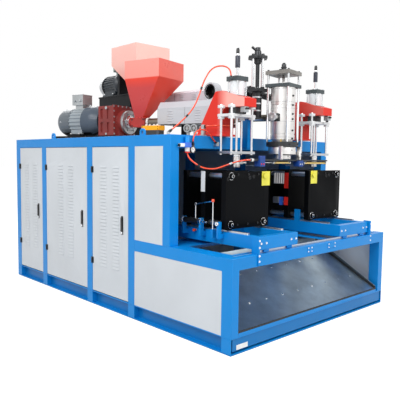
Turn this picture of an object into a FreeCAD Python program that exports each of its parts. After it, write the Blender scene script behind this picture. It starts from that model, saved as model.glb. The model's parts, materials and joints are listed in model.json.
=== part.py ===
import FreeCAD, Part
import math
import os

# Double-station extrusion blow moulding machine. Millimetres. +Z is up, the front (the side where
# the bottles come out) faces -Y, the doors are on the -X side, and the floor is at Z = 0.
# The origin is on the floor, under the middle of the machine's footprint.

V = FreeCAD.Vector
X_AXIS, Y_AXIS, Z_AXIS = V(1, 0, 0), V(0, 1, 0), V(0, 0, 1)

# ---- Driving dimensions: the frame --------------------------------------------------------------
LENGTH = 3400.0            # front to back
WIDTH = 2130.0             # side to side
LOW_TOP = 690.0            # top of the front section
HIGH_TOP = 1560.0          # top of the cabinet
CHANNEL = 125.0            # height of the bottom channel
FLANGE = 9.0               # flange thickness of the bottom channel
TUBE = 90.0                # side of the frame's square tubes
CABINET_FRONT = -1030.0    # front face of the cabinet
FRONT_POST = (75.0, 100.0)  # front posts, across and along the machine
SHEET = 3.0                # sheet metal thickness

HALF = WIDTH / 2
FRONT, BACK = -LENGTH / 2, LENGTH / 2
POST_ROWS = (CABINET_FRONT, -570.0, 90.0, 990.0, BACK - TUBE)   # low-Y face of each post

# ---- The doors ----------------------------------------------------------------------------------
DOOR_SPANS = ((1080.0, 1610.0), (180.0, 990.0), (-480.0, 90.0))  # openings along Y
DOOR_Z = (130.0, 1470.0)
DOOR_GAP = 4.0
DOOR_DEPTH = 25.0
DOOR_FACE = -HALF + 2.0
LOUVRE = (95.0, 13.0, 6.5)   # width, height, depth of one louvre
LOUVRE_PITCH = 31.0
LOUVRE_COUNT = 30
LOUVRE_START = 384.0         # bottom of the lowest louvre
LOUVRE_COLUMNS = (-99.0, 99.0)   # either side of the door's middle
LOCK_Z = (710.0, 870.0)
LOCK_INSET = 85.0            # from the door's free edge
HINGE_Z = (390.0, 1235.0)
HINGE_HEIGHT = 57.0
HINGE_LEAF = 20.0
PIN_RADIUS = 3.0
RUNNING = 0.05               # radial clearance of a running fit
HINGE_X = -HALF - 7.0

# ---- The two mould stations ---------------------------------------------------------------------
STATION_X = 539.0
PLATEN = (509.0, 48.0, 447.0)      # width, thickness, height
PLATEN_BOTTOM = 832.0
FRONT_PLATEN_Y = -1369.0           # its front face
MOVING_PLATEN_Y = -1142.0          # its front face
REAR_PLATE_Y = -905.0              # its front face
TIE_BAR_RADIUS = 22.0
TIE_BAR_X = 195.0
TIE_BAR_Z = (868.0, 1243.0)
CARRIAGE_HALF = 234.0
CARRIAGE_Y = (-1690.0, -770.0)
CARRIAGE_Z = (715.0, 812.0)
CARRIAGE_TUBE = 60.0
RAIL_Y = (-1660.0, -800.0)         # the two cross rails that the carriages run on
RAIL_SIZE = (24.0, 20.0)

# ---- The blow pin towers ------------------------------------------------------------------------
TOWER_Y = -1231.0
TOWER_ROD_SPOTS = ((-120.0, -57.0), (120.0, -57.0), (-120.0, 57.0), (120.0, 57.0))
ARM_HALF = 71.0
ARM_BOTTOM = 1790.0

# ---- The die head -------------------------------------------------------------------------------
DIE_Y = -1275.0
DIE_TURN = 10.0              # degrees about Z
DIE_RADIUS = 106.0
DIE_PLATE = 230.0

# ---- The extruders ------------------------------------------------------------------------------
LEFT_TURN = 14.5             # the left extruder comes in at this angle to the machine's axis
LEFT_AXIS_Z = 1740.0
RIGHT_AXIS_Z = 1975.0

# ---- The air hoses: the points that each one runs past ------------------------------------------
HOSE_RADIUS = 6.0
GAUGE_X = -862.0
ARCH_HOSE = [(-1030, -994, 1592), (-960, -1033, 1658), (-880, -1079, 1755), (-838, -1103, 1862),
             (-805, -1122, 1985), (-752, -1152, 2085), (-672, -1197, 2110), (-613, -1231, 2080),
             (-613, -1231, 2022)]
LOOP_HOSE = [(-845, -1047, 1500), (-845, -1047, 1545), (-795, -1048, 1608), (-700, -1049, 1606),
             (-632, -1047, 1548), (-590, -1047, 1506)]
SIDE_HOSE = [(-686, -1015, 1638), (-686, -1085, 1638), (-650, -1165, 1645), (-500, -1165, 1645)]
SAG_HOSE = [(-910, -1053, 1430), (-910, -1053, 1392), (-868, -1090, 1340), (-812, -1139, 1298),
            (-742, -1201, 1294), (-680, -1255, 1325), (-625, -1310, 1354), (-592, -1385, 1370),
            (-530, -1385, 1370)]


# ---- Shapes -------------------------------------------------------------------------------------
def box(x0, x1, y0, y1, z0, z1):
    return Part.makeBox(x1 - x0, y1 - y0, z1 - z0, V(x0, y0, z0))


def rod(radius, start, axis, length):
    return Part.makeCylinder(radius, length, V(*start), axis)


def prism(points, sweep):
    """A closed polygon of points, swept along a vector."""
    corners = [V(*point) for point in points]
    return Part.Face(Part.makePolygon(corners + corners[:1])).extrude(sweep)


def turned(profile, base, axis=Z_AXIS):
    """A solid of revolution: (radius, height) points turned round an axis through base."""
    side = X_AXIS if axis != X_AXIS else Y_AXIS
    corners = [V(*base) + side * radius + axis * height for radius, height in profile]
    face = Part.Face(Part.makePolygon(corners + corners[:1]))
    return face.revolve(V(*base), axis, 360)


def bar(radius, start, axis, length, sides=8):
    """A small round bar, drawn with a few flat sides to keep the model light."""
    across = X_AXIS if abs(axis.x) < 0.5 else Y_AXIS
    across = (across - axis * across.dot(axis)).normalize()
    up = axis.cross(across)
    corners = []
    for k in range(sides):
        angle = 2 * math.pi * (k + 0.5) / sides
        corners.append(V(*start) + (across * math.cos(angle) + up * math.sin(angle)) * radius)
    return prism([tuple(corner) for corner in corners], axis * length)


def hull(lower, upper):
    """A closed solid between two four-cornered outlines whose sides are parallel."""
    low, high = [V(*point) for point in lower], [V(*point) for point in upper]
    rings = [low, high] + [[low[k], low[(k + 1) % 4], high[(k + 1) % 4], high[k]] for k in range(4)]
    faces = [Part.Face(Part.makePolygon(ring + ring[:1])) for ring in rings]
    return Part.makeSolid(Part.makeShell(faces))


def join(*shapes):
    return shapes[0].fuse(list(shapes[1:])).removeSplitter()


def cut(shape, *tools):
    return shape.cut(list(tools))


def other_side(shape):
    """The same piece on the other side of the machine's middle plane."""
    return shape.mirror(V(0, 0, 0), X_AXIS)


def save(name, *solids):
    shape = solids[0] if len(solids) == 1 else Part.makeCompound(list(solids))
    if not shape.isValid():
        raise ValueError(name + " is not a valid shape")
    shape.exportStep("parts/" + name + ".step")
    print(name, len(shape.Solids), "solids", round(shape.Volume / 1e6, 2), "litres")


# ---- The frame ----------------------------------------------------------------------------------
def base_frame():
    inner = 60.0
    ring = box(-HALF, HALF, FRONT, BACK, 0, CHANNEL)
    hole = box(-HALF + inner, HALF - inner, FRONT + inner, BACK - inner, -1, CHANNEL + 1)
    web = FLANGE * 5.5
    groove = cut(box(-HALF - 1, HALF + 1, FRONT - 1, BACK + 1, FLANGE, CHANNEL - FLANGE),
                 box(-HALF + web, HALF - web, FRONT + web, BACK - web, 0, CHANNEL))
    pieces = [cut(ring, hole, groove)]
    for y in (-1040.0, -40.0, 960.0):
        pieces.append(box(-HALF + inner, HALF - inner, y, y + 80, 0, 100))
    across, along = FRONT_POST
    for side in (-1, 1):
        x0, x1 = sorted((side * HALF, side * (HALF - across)))
        pieces.append(box(x0, x1, FRONT, FRONT + along, CHANNEL, LOW_TOP))
        x0, x1 = sorted((side * HALF, side * (HALF - inner)))
        pieces.append(box(x0, x1, FRONT + along, -570.0, LOW_TOP - 100, LOW_TOP - 5))
    beam_x = HALF - across
    pieces.append(box(-beam_x, beam_x, FRONT, FRONT + inner, LOW_TOP - 90, LOW_TOP))
    rear_x = HALF - inner
    rear_y = RAIL_Y[1]
    pieces.append(box(-rear_x, rear_x, rear_y - 40, rear_y + 40, LOW_TOP - 90, LOW_TOP))
    save("base_frame", join(*pieces))


def cabinet_frame():
    pieces = []
    rail_z = (HIGH_TOP - TUBE, HIGH_TOP)
    for side in (-1, 1):
        x0, x1 = sorted((side * HALF, side * (HALF - TUBE)))
        for y in POST_ROWS:
            bottom = LOW_TOP - 5 if y == CABINET_FRONT else CHANNEL
            pieces.append(box(x0, x1, y, y + TUBE, bottom, rail_z[0]))
        pieces.append(box(x0, x1, CABINET_FRONT, BACK, *rail_z))
    x = HALF - TUBE
    for y in POST_ROWS:
        drop = 14.0 if y == CABINET_FRONT else 0.0
        top = HIGH_TOP if y in (POST_ROWS[0], POST_ROWS[-1]) else HIGH_TOP - 10
        pieces.append(box(-x, x, y, y + TUBE, rail_z[0] - drop, top))
    save("cabinet_frame", join(*pieces))


def deck():
    x = HALF - 60
    plate = box(-x, x, FRONT + FRONT_POST[1], RAIL_Y[1] - 40, LOW_TOP - 10, LOW_TOP - 5)
    wells = [box(c - half, c + half, -1570, -1090, LOW_TOP - 11, LOW_TOP)
             for c, half in ((-630, 300), (0, 240), (630, 300))]
    cabinet_posts = [box(side * x - 40, side * x + 40, CABINET_FRONT - 2, CABINET_FRONT + TUBE + 2,
                         LOW_TOP - 11, LOW_TOP) for side in (-1, 1)]
    save("deck", cut(plate, *wells, *cabinet_posts))


def top_plate():
    x = HALF - TUBE
    bays = []
    for low, high in zip(POST_ROWS[:-1], POST_ROWS[1:]):
        bays.append(box(-x, x, low + TUBE, high, HIGH_TOP - 10, HIGH_TOP))
        bays.append(box(-x, x, high, high + TUBE, HIGH_TOP - 10, HIGH_TOP))
    save("top_plate", join(*bays[:-1]))


def panels():
    upper = box(-HALF + 2, -HALF + 2 + SHEET, CABINET_FRONT + TUBE, -570, LOW_TOP - 5, 1470)
    lower = box(-HALF + 2, -HALF + 2 + SHEET, FRONT + 100, -570, CHANNEL, LOW_TOP - 100)
    save("left_panels", upper, lower)
    right = []
    for low, high in zip(POST_ROWS[:-1], POST_ROWS[1:]):
        bottom = LOW_TOP - 5 if low == CABINET_FRONT else DOOR_Z[0]
        right.append(box(HALF - 2 - SHEET, HALF - 2, low + TUBE, high, bottom, 1470))
    right.append(box(HALF - 2 - SHEET, HALF - 2, FRONT + 100, -570, CHANNEL, LOW_TOP - 100))
    save("right_panels", *right)
    x = HALF - TUBE
    save("rear_panel", box(-x, x, BACK - 5, BACK - 2, DOOR_Z[0], 1470))


def lifting_eyes():
    eyes = []
    half, thick = 34.0, 14.0
    for side in (-1, 1):
        for y in (-662.0, 846.0):
            x = side * (HALF - 15) - thick / 2
            middle = HIGH_TOP + 24
            plate = box(x, x + thick, y - half, y + half, HIGH_TOP, middle)
            head = bar(half, (x, y, middle), X_AXIS, thick, 12)
            below = box(x, x + thick, y - half, y + half, HIGH_TOP - half, HIGH_TOP)
            eyes.append(cut(join(plate, head), below, bar(16, (x - 1, y, middle), X_AXIS, thick + 2)))
    save("lifting_eyes", *eyes)


def chute():
    """The stainless tray that the bottles slide down, with its end walls and front lip."""
    x0, x1 = -HALF + 77, HALF - 109
    low, high = (FRONT + 6, 150.0), (-1000.0, 508.0)
    thick = 4.0
    floor = prism([(x0, low[0], low[1]), (x0, high[0], high[1]), (x0, high[0], high[1] - thick),
                   (x0, low[0], low[1] - thick)], V(x1 - x0, 0, 0))
    rim = 60.0
    pieces = [floor]
    for x in (x0, x1 - thick):
        pieces.append(prism([(x, low[0], low[1] - thick), (x, high[0], high[1] - thick),
                             (x, high[0], high[1] + rim), (x, low[0], low[1] + rim / 2)],
                            V(thick, 0, 0)))
    pieces.append(box(x0, x1, low[0] - thick, low[0], CHANNEL, low[1] + 14))
    pieces.append(box(x0, x1, high[0], high[0] + thick, high[1] - thick, high[1] + rim))
    save("chute", join(*pieces))


def shuttle_beam():
    """The beam face and the end stops of the carriages."""
    x = 785.0
    pieces = [box(-x, x, FRONT - 12, FRONT, LOW_TOP - 85, LOW_TOP)]
    for side in (-1, 1):
        x0, x1 = sorted((side * x, side * (x + 14)))
        pieces.append(box(x0, x1, FRONT - 12, FRONT, LOW_TOP - 85, LOW_TOP + 130))
        pieces.append(box(x0, x1, FRONT, FRONT + 60, LOW_TOP, LOW_TOP + 130))
    save("shuttle_beam", join(*pieces))
    wide, high = RAIL_SIZE
    rails = [box(-780, 780, y - wide / 2, y + wide / 2, LOW_TOP, LOW_TOP + high) for y in RAIL_Y]
    save("linear_rails", *rails)


# ---- The doors ----------------------------------------------------------------------------------
def knuckle(y, low, high):
    return bar(6, (HINGE_X, y, low), Z_AXIS, high - low)


def louvre_strip(middle):
    """One column of louvres, pressed outwards: each slopes out from the top and is cut off square below."""
    width, height, depth = LOUVRE
    skin = DOOR_FACE - 0.6
    profile = [(DOOR_FACE + 0.5, LOUVRE_START - 4)]
    profile.append((skin, LOUVRE_START - 4))
    for row in range(LOUVRE_COUNT):
        z = LOUVRE_START + row * LOUVRE_PITCH
        profile += [(skin, z), (DOOR_FACE - depth, z), (skin, z + height)]
    profile.append((skin, z + height + 4))
    profile.append((DOOR_FACE + 0.5, z + height + 4))
    return prism([(x, middle - width / 2, z) for x, z in profile], V(0, width, 0))


def door(number, span):
    low, high = span[0] + DOOR_GAP, span[1] - DOOR_GAP
    z0, z1 = DOOR_Z[0] + DOOR_GAP, DOOR_Z[1] - DOOR_GAP
    shell = cut(box(DOOR_FACE, DOOR_FACE + DOOR_DEPTH, low, high, z0, z1),
                box(DOOR_FACE + SHEET, DOOR_FACE + DOOR_DEPTH + 1, low + SHEET, high - SHEET,
                    z0 + SHEET, z1 - SHEET))
    middle = (low + high) / 2
    pieces = [louvre_strip(middle + column) for column in LOUVRE_COLUMNS]
    # the lock's plate with the two ears that hold the lever's pin
    lock_y = low + LOCK_INSET
    plate_x = DOOR_FACE - 4
    pieces.append(box(plate_x, DOOR_FACE + 0.5, lock_y - 15, lock_y + 15, *LOCK_Z))
    pin_x, pin_z = plate_x - 4.4, LOCK_Z[0] + 34
    for side in (-1, 1):
        y0, y1 = sorted((lock_y + side * 11.4, lock_y + side * 14.4))
        pieces.append(box(plate_x - 8, plate_x, y0, y1, pin_z - 6, pin_z + 6))
    pieces.append(bar(1.5, (pin_x, lock_y - 12, pin_z), Y_AXIS, 24, 6))
    pieces.append(bar(9, (plate_x - 4, lock_y, LOCK_Z[0] + 14), X_AXIS, 5))
    body = join(shell, *pieces)
    # the door's halves of the hinges: a leaf and the upper knuckle
    hinge_y = span[1] - DOOR_GAP / 2
    for z in HINGE_Z:
        top = z + HINGE_HEIGHT
        middle = z + HINGE_HEIGHT / 2
        leaf = box(DOOR_FACE - 3, DOOR_FACE + 0.5, hinge_y - HINGE_LEAF, hinge_y - 4, z, top)
        tab = box(HINGE_X - 1.5, DOOR_FACE - 1, hinge_y - 8, hinge_y - 4.5, middle + 0.5, top)
        bore = rod(PIN_RADIUS + RUNNING, (HINGE_X, hinge_y, z), Z_AXIS, HINGE_HEIGHT - 6)
        body = join(body, leaf, cut(join(knuckle(hinge_y, middle + 0.5, top), tab), bore))
    save("door_%d" % number, body)
    lever_top = LOCK_Z[1] - 12
    lever = join(box(pin_x - 4, pin_x + 4, lock_y - 11, lock_y + 11, pin_z, lever_top),
                 bar(4, (pin_x, lock_y - 11, pin_z), Y_AXIS, 22))
    save("lock_lever_%d" % number,
         cut(lever, rod(1.5 + RUNNING, (pin_x, lock_y - 12, pin_z), Y_AXIS, 24)))


def hinges():
    """The fixed halves: a leaf on the post, the lower knuckle and the pin."""
    sets = []
    for span in DOOR_SPANS:
        y = span[1] - DOOR_GAP / 2
        for z in HINGE_Z:
            middle = z + HINGE_HEIGHT / 2
            leaf = box(-HALF - 3, -HALF, y + 6.8, y + HINGE_LEAF, z, z + HINGE_HEIGHT)
            tab = box(HINGE_X - 1.5, -HALF, y + 4.5, y + 8, z, middle)
            pin = bar(PIN_RADIUS, (HINGE_X, y, z), Z_AXIS, HINGE_HEIGHT - 7)
            sets.append(join(leaf, tab, knuckle(y, z, middle), pin))
    save("hinges", *sets)


# ---- The mould stations -------------------------------------------------------------------------
def station(side, name):
    """One mould carriage with its clamp. The left one is modelled; the right one mirrors it."""
    place = (lambda shape: shape) if side < 0 else other_side
    x = -STATION_X
    y0, y1 = CARRIAGE_Y
    z0, z1 = CARRIAGE_Z
    t = CARRIAGE_TUBE
    half = CARRIAGE_HALF
    pieces = [box(x - half, x + half, y0, y0 + t, z0, z1), box(x - half, x + half, y1 - t, y1, z0, z1),
              box(x - half, x - half + t, y0, y1, z0, z1), box(x + half - t, x + half, y0, y1, z0, z1),
              box(x - half, x + half, -1180, -1180 + t, z0, z1),
              box(x + half - 17, x + half, -1262, -1202, z1, z1 + 106)]
    guide_x = half - t / 2
    for spot in (x - guide_x, x + guide_x):
        pieces.append(box(spot - 12, spot + 12, -1560, -840, z1, z1 + 14))
    wide, high = RAIL_SIZE
    top_of_rail = LOW_TOP + high
    for rail_y in RAIL_Y:
        for spot in (x - 170, x + 110):
            shoe = box(spot, spot + 60, rail_y - 24, rail_y + 24, LOW_TOP + 4, z0)
            slot = box(spot - 1, spot + 61, rail_y - wide / 2 - 0.4, rail_y + wide / 2 + 0.4,
                       LOW_TOP, top_of_rail + 0.4)
            pieces.append(cut(shoe, slot))
    save("carriage_" + name, place(join(*pieces)))

    width, thick, height = PLATEN
    bottom, top = PLATEN_BOTTOM, PLATEN_BOTTOM + height
    bars = [(x + dx, z) for dx in (-TIE_BAR_X, TIE_BAR_X) for z in TIE_BAR_Z]

    def shoes(low, high):
        return [box(spot - 20, spot + 20, low, high, z1 + 14.4, bottom)
                for spot in (x - guide_x, x + guide_x)]

    back = REAR_PLATE_Y
    frame = [box(x - width / 2, x + width / 2, FRONT_PLATEN_Y, FRONT_PLATEN_Y + thick, bottom, top),
             box(x - width / 2 + 14, x + width / 2 - 14, back, back + 40, bottom, top)]
    frame += shoes(FRONT_PLATEN_Y, FRONT_PLATEN_Y + thick) + shoes(back, back + 40)
    for bar_x, bar_z in bars:
        frame.append(rod(TIE_BAR_RADIUS, (bar_x, FRONT_PLATEN_Y - 6, bar_z), Y_AXIS,
                         back + 46 - FRONT_PLATEN_Y))
        frame.append(hex_nut(26, (bar_x, FRONT_PLATEN_Y - 18, bar_z), 18.5))
    centre_z = bottom + height / 2
    frame.append(rod(62, (x, back - 125, centre_z), Y_AXIS, 125.5))
    save("clamp_frame_" + name,
         place(cut(join(*frame), rod(25 + RUNNING, (x, back - 126, centre_z), Y_AXIS, 120))))

    plate = [box(x - width / 2, x + width / 2, MOVING_PLATEN_Y, MOVING_PLATEN_Y + thick, bottom, top)]
    plate += shoes(MOVING_PLATEN_Y, MOVING_PLATEN_Y + thick)
    plate.append(rod(25, (x, MOVING_PLATEN_Y + thick - 1, centre_z), Y_AXIS, 165))
    bores = [rod(TIE_BAR_RADIUS + RUNNING, (bar_x, MOVING_PLATEN_Y - 1, bar_z), Y_AXIS, thick + 2)
             for bar_x, bar_z in bars]
    save("moving_platen_" + name, place(cut(join(*plate), *bores)))


def hex_nut(radius, start, length, axis=Y_AXIS):
    corners = []
    for k in range(6):
        a, b = radius * math.cos(k * math.pi / 3), radius * math.sin(k * math.pi / 3)
        offset = V(a, 0, b) if axis == Y_AXIS else V(a, b, 0)
        corners.append(tuple(V(*start) + offset))
    return prism(corners, axis * length)


# ---- The blow pin towers ------------------------------------------------------------------------
def tower(side, name):
    place = (lambda shape: shape) if side < 0 else other_side
    x, y = -STATION_X, TOWER_Y
    arm = prism([(x - ARM_HALF, -826, HIGH_TOP), (x - ARM_HALF, -1054, 1922),
                 (x - ARM_HALF, -1124, 1926), (x - ARM_HALF, -1375, 1853),
                 (x - ARM_HALF, -1375, ARM_BOTTOM - 5), (x - ARM_HALF, -1160, ARM_BOTTOM),
                 (x - ARM_HALF, -1130, 1740), (x - ARM_HALF, -1130, HIGH_TOP)],
                V(2 * ARM_HALF, 0, 0))
    pocket = box(x - 63, x + 63, y - 63, y + 63, 1860, 1960)
    foot = box(x - 88, x + 88, -1150, -810, HIGH_TOP, HIGH_TOP + 16)
    rod_hole = rod(13, (x, y, 1700), Z_AXIS, 300)
    save("bracket_" + name, place(cut(join(arm, foot), pocket, rod_hole)))

    cap = 62.0
    bottom_cap = box(x - cap, x + cap, y - cap, y + cap, 1860, 1880)
    top_cap = box(x - cap, x + cap, y - cap, y + cap, 1994, 2030)
    barrel = rod(60, (x, y, 1880), Z_AXIS, 114)
    boss = bar(26, (x, y, 2030), Z_AXIS, 12)
    ties = [bar(6, (x + dx, y + dy, 1880), Z_AXIS, 114, 6) for dx in (-50, 50) for dy in (-50, 50)]
    elbow = box(x - cap - 24, x - cap, y - 11, y + 11, 2000, 2022)
    bore = rod(10 + RUNNING, (x, y, 1700), Z_AXIS, 400)
    plate = box(x - 145, x + 145, y - 75, y + 75, 1710, 1730)
    hanger = box(x - 50, x + 50, y - 40, y + 40, 1730, ARM_BOTTOM - 5)
    holes = [bar(10 + RUNNING, (x + dx, y + dy, 1680), Z_AXIS, 60) for dx, dy in TOWER_ROD_SPOTS]
    bushes = [bar(26, (x + dx, y + dy, 1692), Z_AXIS, 40, 12) for dx, dy in TOWER_ROD_SPOTS]
    save("blow_cylinder_" + name, place(cut(join(bottom_cap, top_cap, barrel, boss, elbow, *ties), bore)),
         place(cut(join(plate, hanger, *bushes), bore, *holes)))

    pieces = [box(x - 145, x + 145, y - 75, y + 75, 1417, 1437),
              rod(32, (x, y, 1310), Z_AXIS, 108),
              rod(10, (x, y, 1430), Z_AXIS, 830),
              bar(20, (x, y, 2104), Z_AXIS, 90, 12),
              bar(14, (x + 28, y, 1345), X_AXIS, 42),
              bar(9, (x + 68, y, 1345), X_AXIS, 52)]
    for dx, dy in TOWER_ROD_SPOTS:
        pieces.append(bar(10, (x + dx, y + dy, 1437), Z_AXIS, 371))
        pieces.append(bar(29, (x + dx, y + dy, 1778), Z_AXIS, 22, 12))
    save("blow_pin_" + name, place(join(*pieces)))


# ---- The die head -------------------------------------------------------------------------------
def die_head():
    spin = lambda shape: shape.rotate(V(0, DIE_Y, 0), Z_AXIS, DIE_TURN)
    r = DIE_RADIUS
    body = turned([(0, 1527), (90, 1527), (90, 1548), (r, 1548), (r, 1590), (r - 5, 1590), (r - 5, 1597),
                   (r, 1597), (r, 1838), (r - 5, 1838), (r - 5, 1845), (r, 1845), (r, 1992), (0, 1992)],
                  (0, DIE_Y, 0))
    # the melt port on the left with its clamp ring
    port = join(box(-132, -80, DIE_Y - 22, DIE_Y + 22, 1700, 1768),
                bar(19, (-200, DIE_Y, 1734), X_AXIS, 80), bar(33, (-214, DIE_Y, 1734), X_AXIS, 15, 12))
    port = port.rotate(V(0, DIE_Y, 0), Z_AXIS, 14)
    actuator = join(box(-30, 30, DIE_Y - 30, DIE_Y + 30, 2130, 2152), bar(20, (0, DIE_Y, 2152), Z_AXIS, 42))
    stem = bar(12, (0, DIE_Y, 1992), Z_AXIS, 106)
    save("die_head", join(body, port, stem))

    half, low, high = DIE_PLATE / 2, 1992.0, 2098.0
    plates = [box(-half, half, DIE_Y - half, DIE_Y + half, low, low + 28),
              box(-half, half, DIE_Y - half, DIE_Y + half, high, high + 32)]
    rods = [bar(10, (dx, DIE_Y + dy, 1527), Z_AXIS, high - 1527)
            for dx in (-96, 96) for dy in (-96, 96)]
    hole = box(-13, 13, DIE_Y - 13, DIE_Y + 13, low - 1, low + 29)
    save("die_frame", spin(cut(join(*plates, *rods, actuator), hole)))

    ring = turned([(0, 1380), (79, 1380), (79, 1413), (70, 1413), (70, 1421), (120, 1421), (120, 1481),
                   (114, 1487), (137, 1487), (137, 1527), (0, 1527)], (0, DIE_Y, 0))
    save("die_ring", ring)


def knives():
    y, z = -1385.0, 1350.0
    radius = 12.0
    rail = box(-520, 510, y - 22, y + 40, 1364, 1376)
    port = box(-530, -510, y - 12, y + 12, 1358, 1382)
    hangers = [box(dx - 8, dx + 8, y + 4, y + 40, 1376, 1488) for dx in (-128, 128)]
    barrels = [rod(radius, (-258, y, z), X_AXIS, 222), rod(radius, (171, y, z), X_AXIS, 333)]
    feet = [box(at_x, at_x + 24, y - 14, y + 14, z, 1364) for at_x in (-252, -66, 177, 474)]
    bores = [bar(5 + RUNNING, (-259, y, z), X_AXIS, 200), bar(5 + RUNNING, (170, y, z), X_AXIS, 180)]
    save("knife_cylinders", cut(join(rail, port, *hangers, *barrels, *feet), *bores))
    for name, low, high, end, top in (("left", -469, -405, -170, 1404), ("right", 46, 112, 300, 1368)):
        carrier = join(box(low, high, y - 42, y + 18, 1318, 1362),
                       box(low, high, y - 42, y - 24, 1318, top))
        blade = box(low + 10, high - 10, y + 18, y + 110, 1322, 1326)
        save("knife_" + name, join(carrier, blade, bar(5, (high, y, z), X_AXIS, end - high)))


def ram_unit():
    """The tall cylinder with tie rods behind the die head, on its column."""
    x, y = -150.0, -1107.0
    reach = 58.0
    pieces = [box(-245, -185, -1090, CABINET_FRONT, 1475, 1716),
              box(-256, -108, y - 58, y + 66, 1716, 1736),
              rod(41, (x, y, 1736), Z_AXIS, 222),
              box(x - 75, x + 75, y - 75, y + 75, 1958, 1982),
              rod(17, (x, y, 1982), Z_AXIS, 254),
              box(x - 80, x + 80, y - 34, y + 34, 2236, 2262),
              box(x - 34, x + 34, y - 80, y + 80, 2236, 2262),
              turned([(0, 2196), (26, 2196), (30, 2210), (30, 2300), (22, 2318), (22, 2336), (0, 2336)],
                     (x, y, 0)),
              bar(11, (x, y, 2300), V(-0.768, 0.329, 0.549), 70)]
    for dx, dy in ((-reach, 0), (reach, 0), (0, -reach), (0, reach)):
        pieces.append(bar(9, (x + dx, y + dy, 1982), Z_AXIS, 254))
        pieces.append(bar(15, (x + dx, y + dy, 2262), Z_AXIS, 14, 6))
    save("ram_unit", join(*pieces))


# ---- The extruders, drawn along +Y from the die head's axis and then turned into place ----------
def left_place(shape):
    return shape.rotate(V(0, 0, 0), Z_AXIS, LEFT_TURN).translate(V(0, DIE_Y, 0))


def right_place(shape):
    return shape.translate(V(0, DIE_Y, 0))


def hopper(place, name, centre, size, rim_z, neck, neck_z, wall=4.0):
    """A square rim over a tapered cone that ends in an off-centre neck with a flange."""
    def outline(half, middle, z):
        return [(sx * half, middle + sy * half, z) for sx, sy in ((-1, -1), (1, -1), (1, 1), (-1, 1))]

    def skin(inset, below, above):
        half, small = size / 2 - inset, neck[1] / 2 - inset
        pieces = [hull(outline(small, neck[0], neck_z), outline(half, centre, rim_z[0])),
                  hull(outline(half, centre, rim_z[0]), outline(half, centre, rim_z[1] + above))]
        if below:
            pieces.append(hull(outline(small, neck[0], neck_z - below), outline(small, neck[0], neck_z)))
        return pieces[0].fuse(pieces[1:])

    lip = neck[1] / 2 + 6
    flange = box(-lip, lip, neck[0] - lip, neck[0] + lip, neck_z - 8, neck_z)
    outside = skin(0, 0, 0).fuse(flange)
    save(name, place(outside.cut(skin(wall, 9, 1)).removeSplitter()))


def cover(place, name, half, span, z, shoulder, bore, axis_z, groups):
    """The sheet-metal box over the heated barrel, with chamfered top edges and louvres."""
    low, high, top = z

    def section(inset):
        h, s = half - inset, shoulder - inset
        b, m, t = low + inset, high - inset * 0.4, top - inset
        return [(-h, b), (h, b), (h, m), (s, t), (-s, t), (-h, m)]

    outer = prism([(a, span[0], b) for a, b in section(0)], V(0, span[1] - span[0], 0))
    inner = prism([(a, span[0] + SHEET, b) for a, b in section(SHEET)],
                  V(0, span[1] - span[0] - 2 * SHEET, 0))
    shell = outer.cut([inner, rod(bore, (0, span[0] - 1, axis_z), Y_AXIS, span[1] - span[0] + 2)])
    ridges = []
    for side in (-1, 1):
        for start in groups:
            for row in range(5):
                level = low + (high - low) * (0.18 + 0.15 * row)
                x0, x1 = side * (half - 0.5), side * (half + 5)
                ridges.append(prism([(x0, start, level), (x0, start, level + 9), (x1, start, level + 1.5),
                                     (x1, start, level)], V(0, 62, 0)))
    save(name, place(join(shell, *ridges)))


def motor(place, name, radius, axis_z, base_z, span, bell, cowl_length, box_span, box_height):
    """A foot-mounted motor: fan cowl, finned body, end bell, feet and terminal boxes."""
    low, high = span
    core = radius - 12
    fins = 24
    rim = []
    for k in range(fins):
        for offset, r in ((-3.6, core), (-1.2, radius), (1.2, radius), (3.6, core)):
            angle = math.radians(360.0 * k / fins + offset)
            rim.append((r * math.sin(angle), low, axis_z + r * math.cos(angle)))
    body = [prism(rim, V(0, high - low, 0))]
    body.append(turned([(0, 0), (radius - 4, 0), (radius - 4, cowl_length - 42), (radius - 22, cowl_length),
                        (0, cowl_length)], (0, high, axis_z), Y_AXIS))
    body.append(turned([(0, -bell), (radius * 0.8, -bell), (radius * 1.08, -bell * 0.55),
                        (radius * 1.08, 0), (0, 0)], (0, low, axis_z), Y_AXIS))
    for side in (-1, 1):
        x0, x1 = sorted((side * radius * 0.55, side * radius * 1.05))
        body.append(box(x0, x1, low + 10, high - 10, base_z, base_z + 22))
        x0, x1 = sorted((side * radius * 0.6, side * radius * 0.8))
        body.append(box(x0, x1, low + 14, high - 14, base_z + 10, axis_z - radius * 0.4))
    top = axis_z + core
    body.append(box(-45, 45, box_span[0] + 25, box_span[1] - 25, top - 20, top + 40))
    body.append(box(-72, 72, box_span[0], box_span[1], top + 40, top + 40 + box_height))
    save(name, place(join(*body)))


def throat(place, name, axis_z, z, span, neck_y, hole, hub_length):
    """The cooled feed block under a hopper."""
    block = box(-62, 62, span[0], span[1], z[0], z[1])
    hub = rod(50, (0, span[1], axis_z), Y_AXIS, hub_length)
    inlet = box(-hole, hole, neck_y - hole, neck_y + hole, axis_z, z[1] + 1)
    save(name, place(cut(join(block, hub), inlet)))


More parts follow.
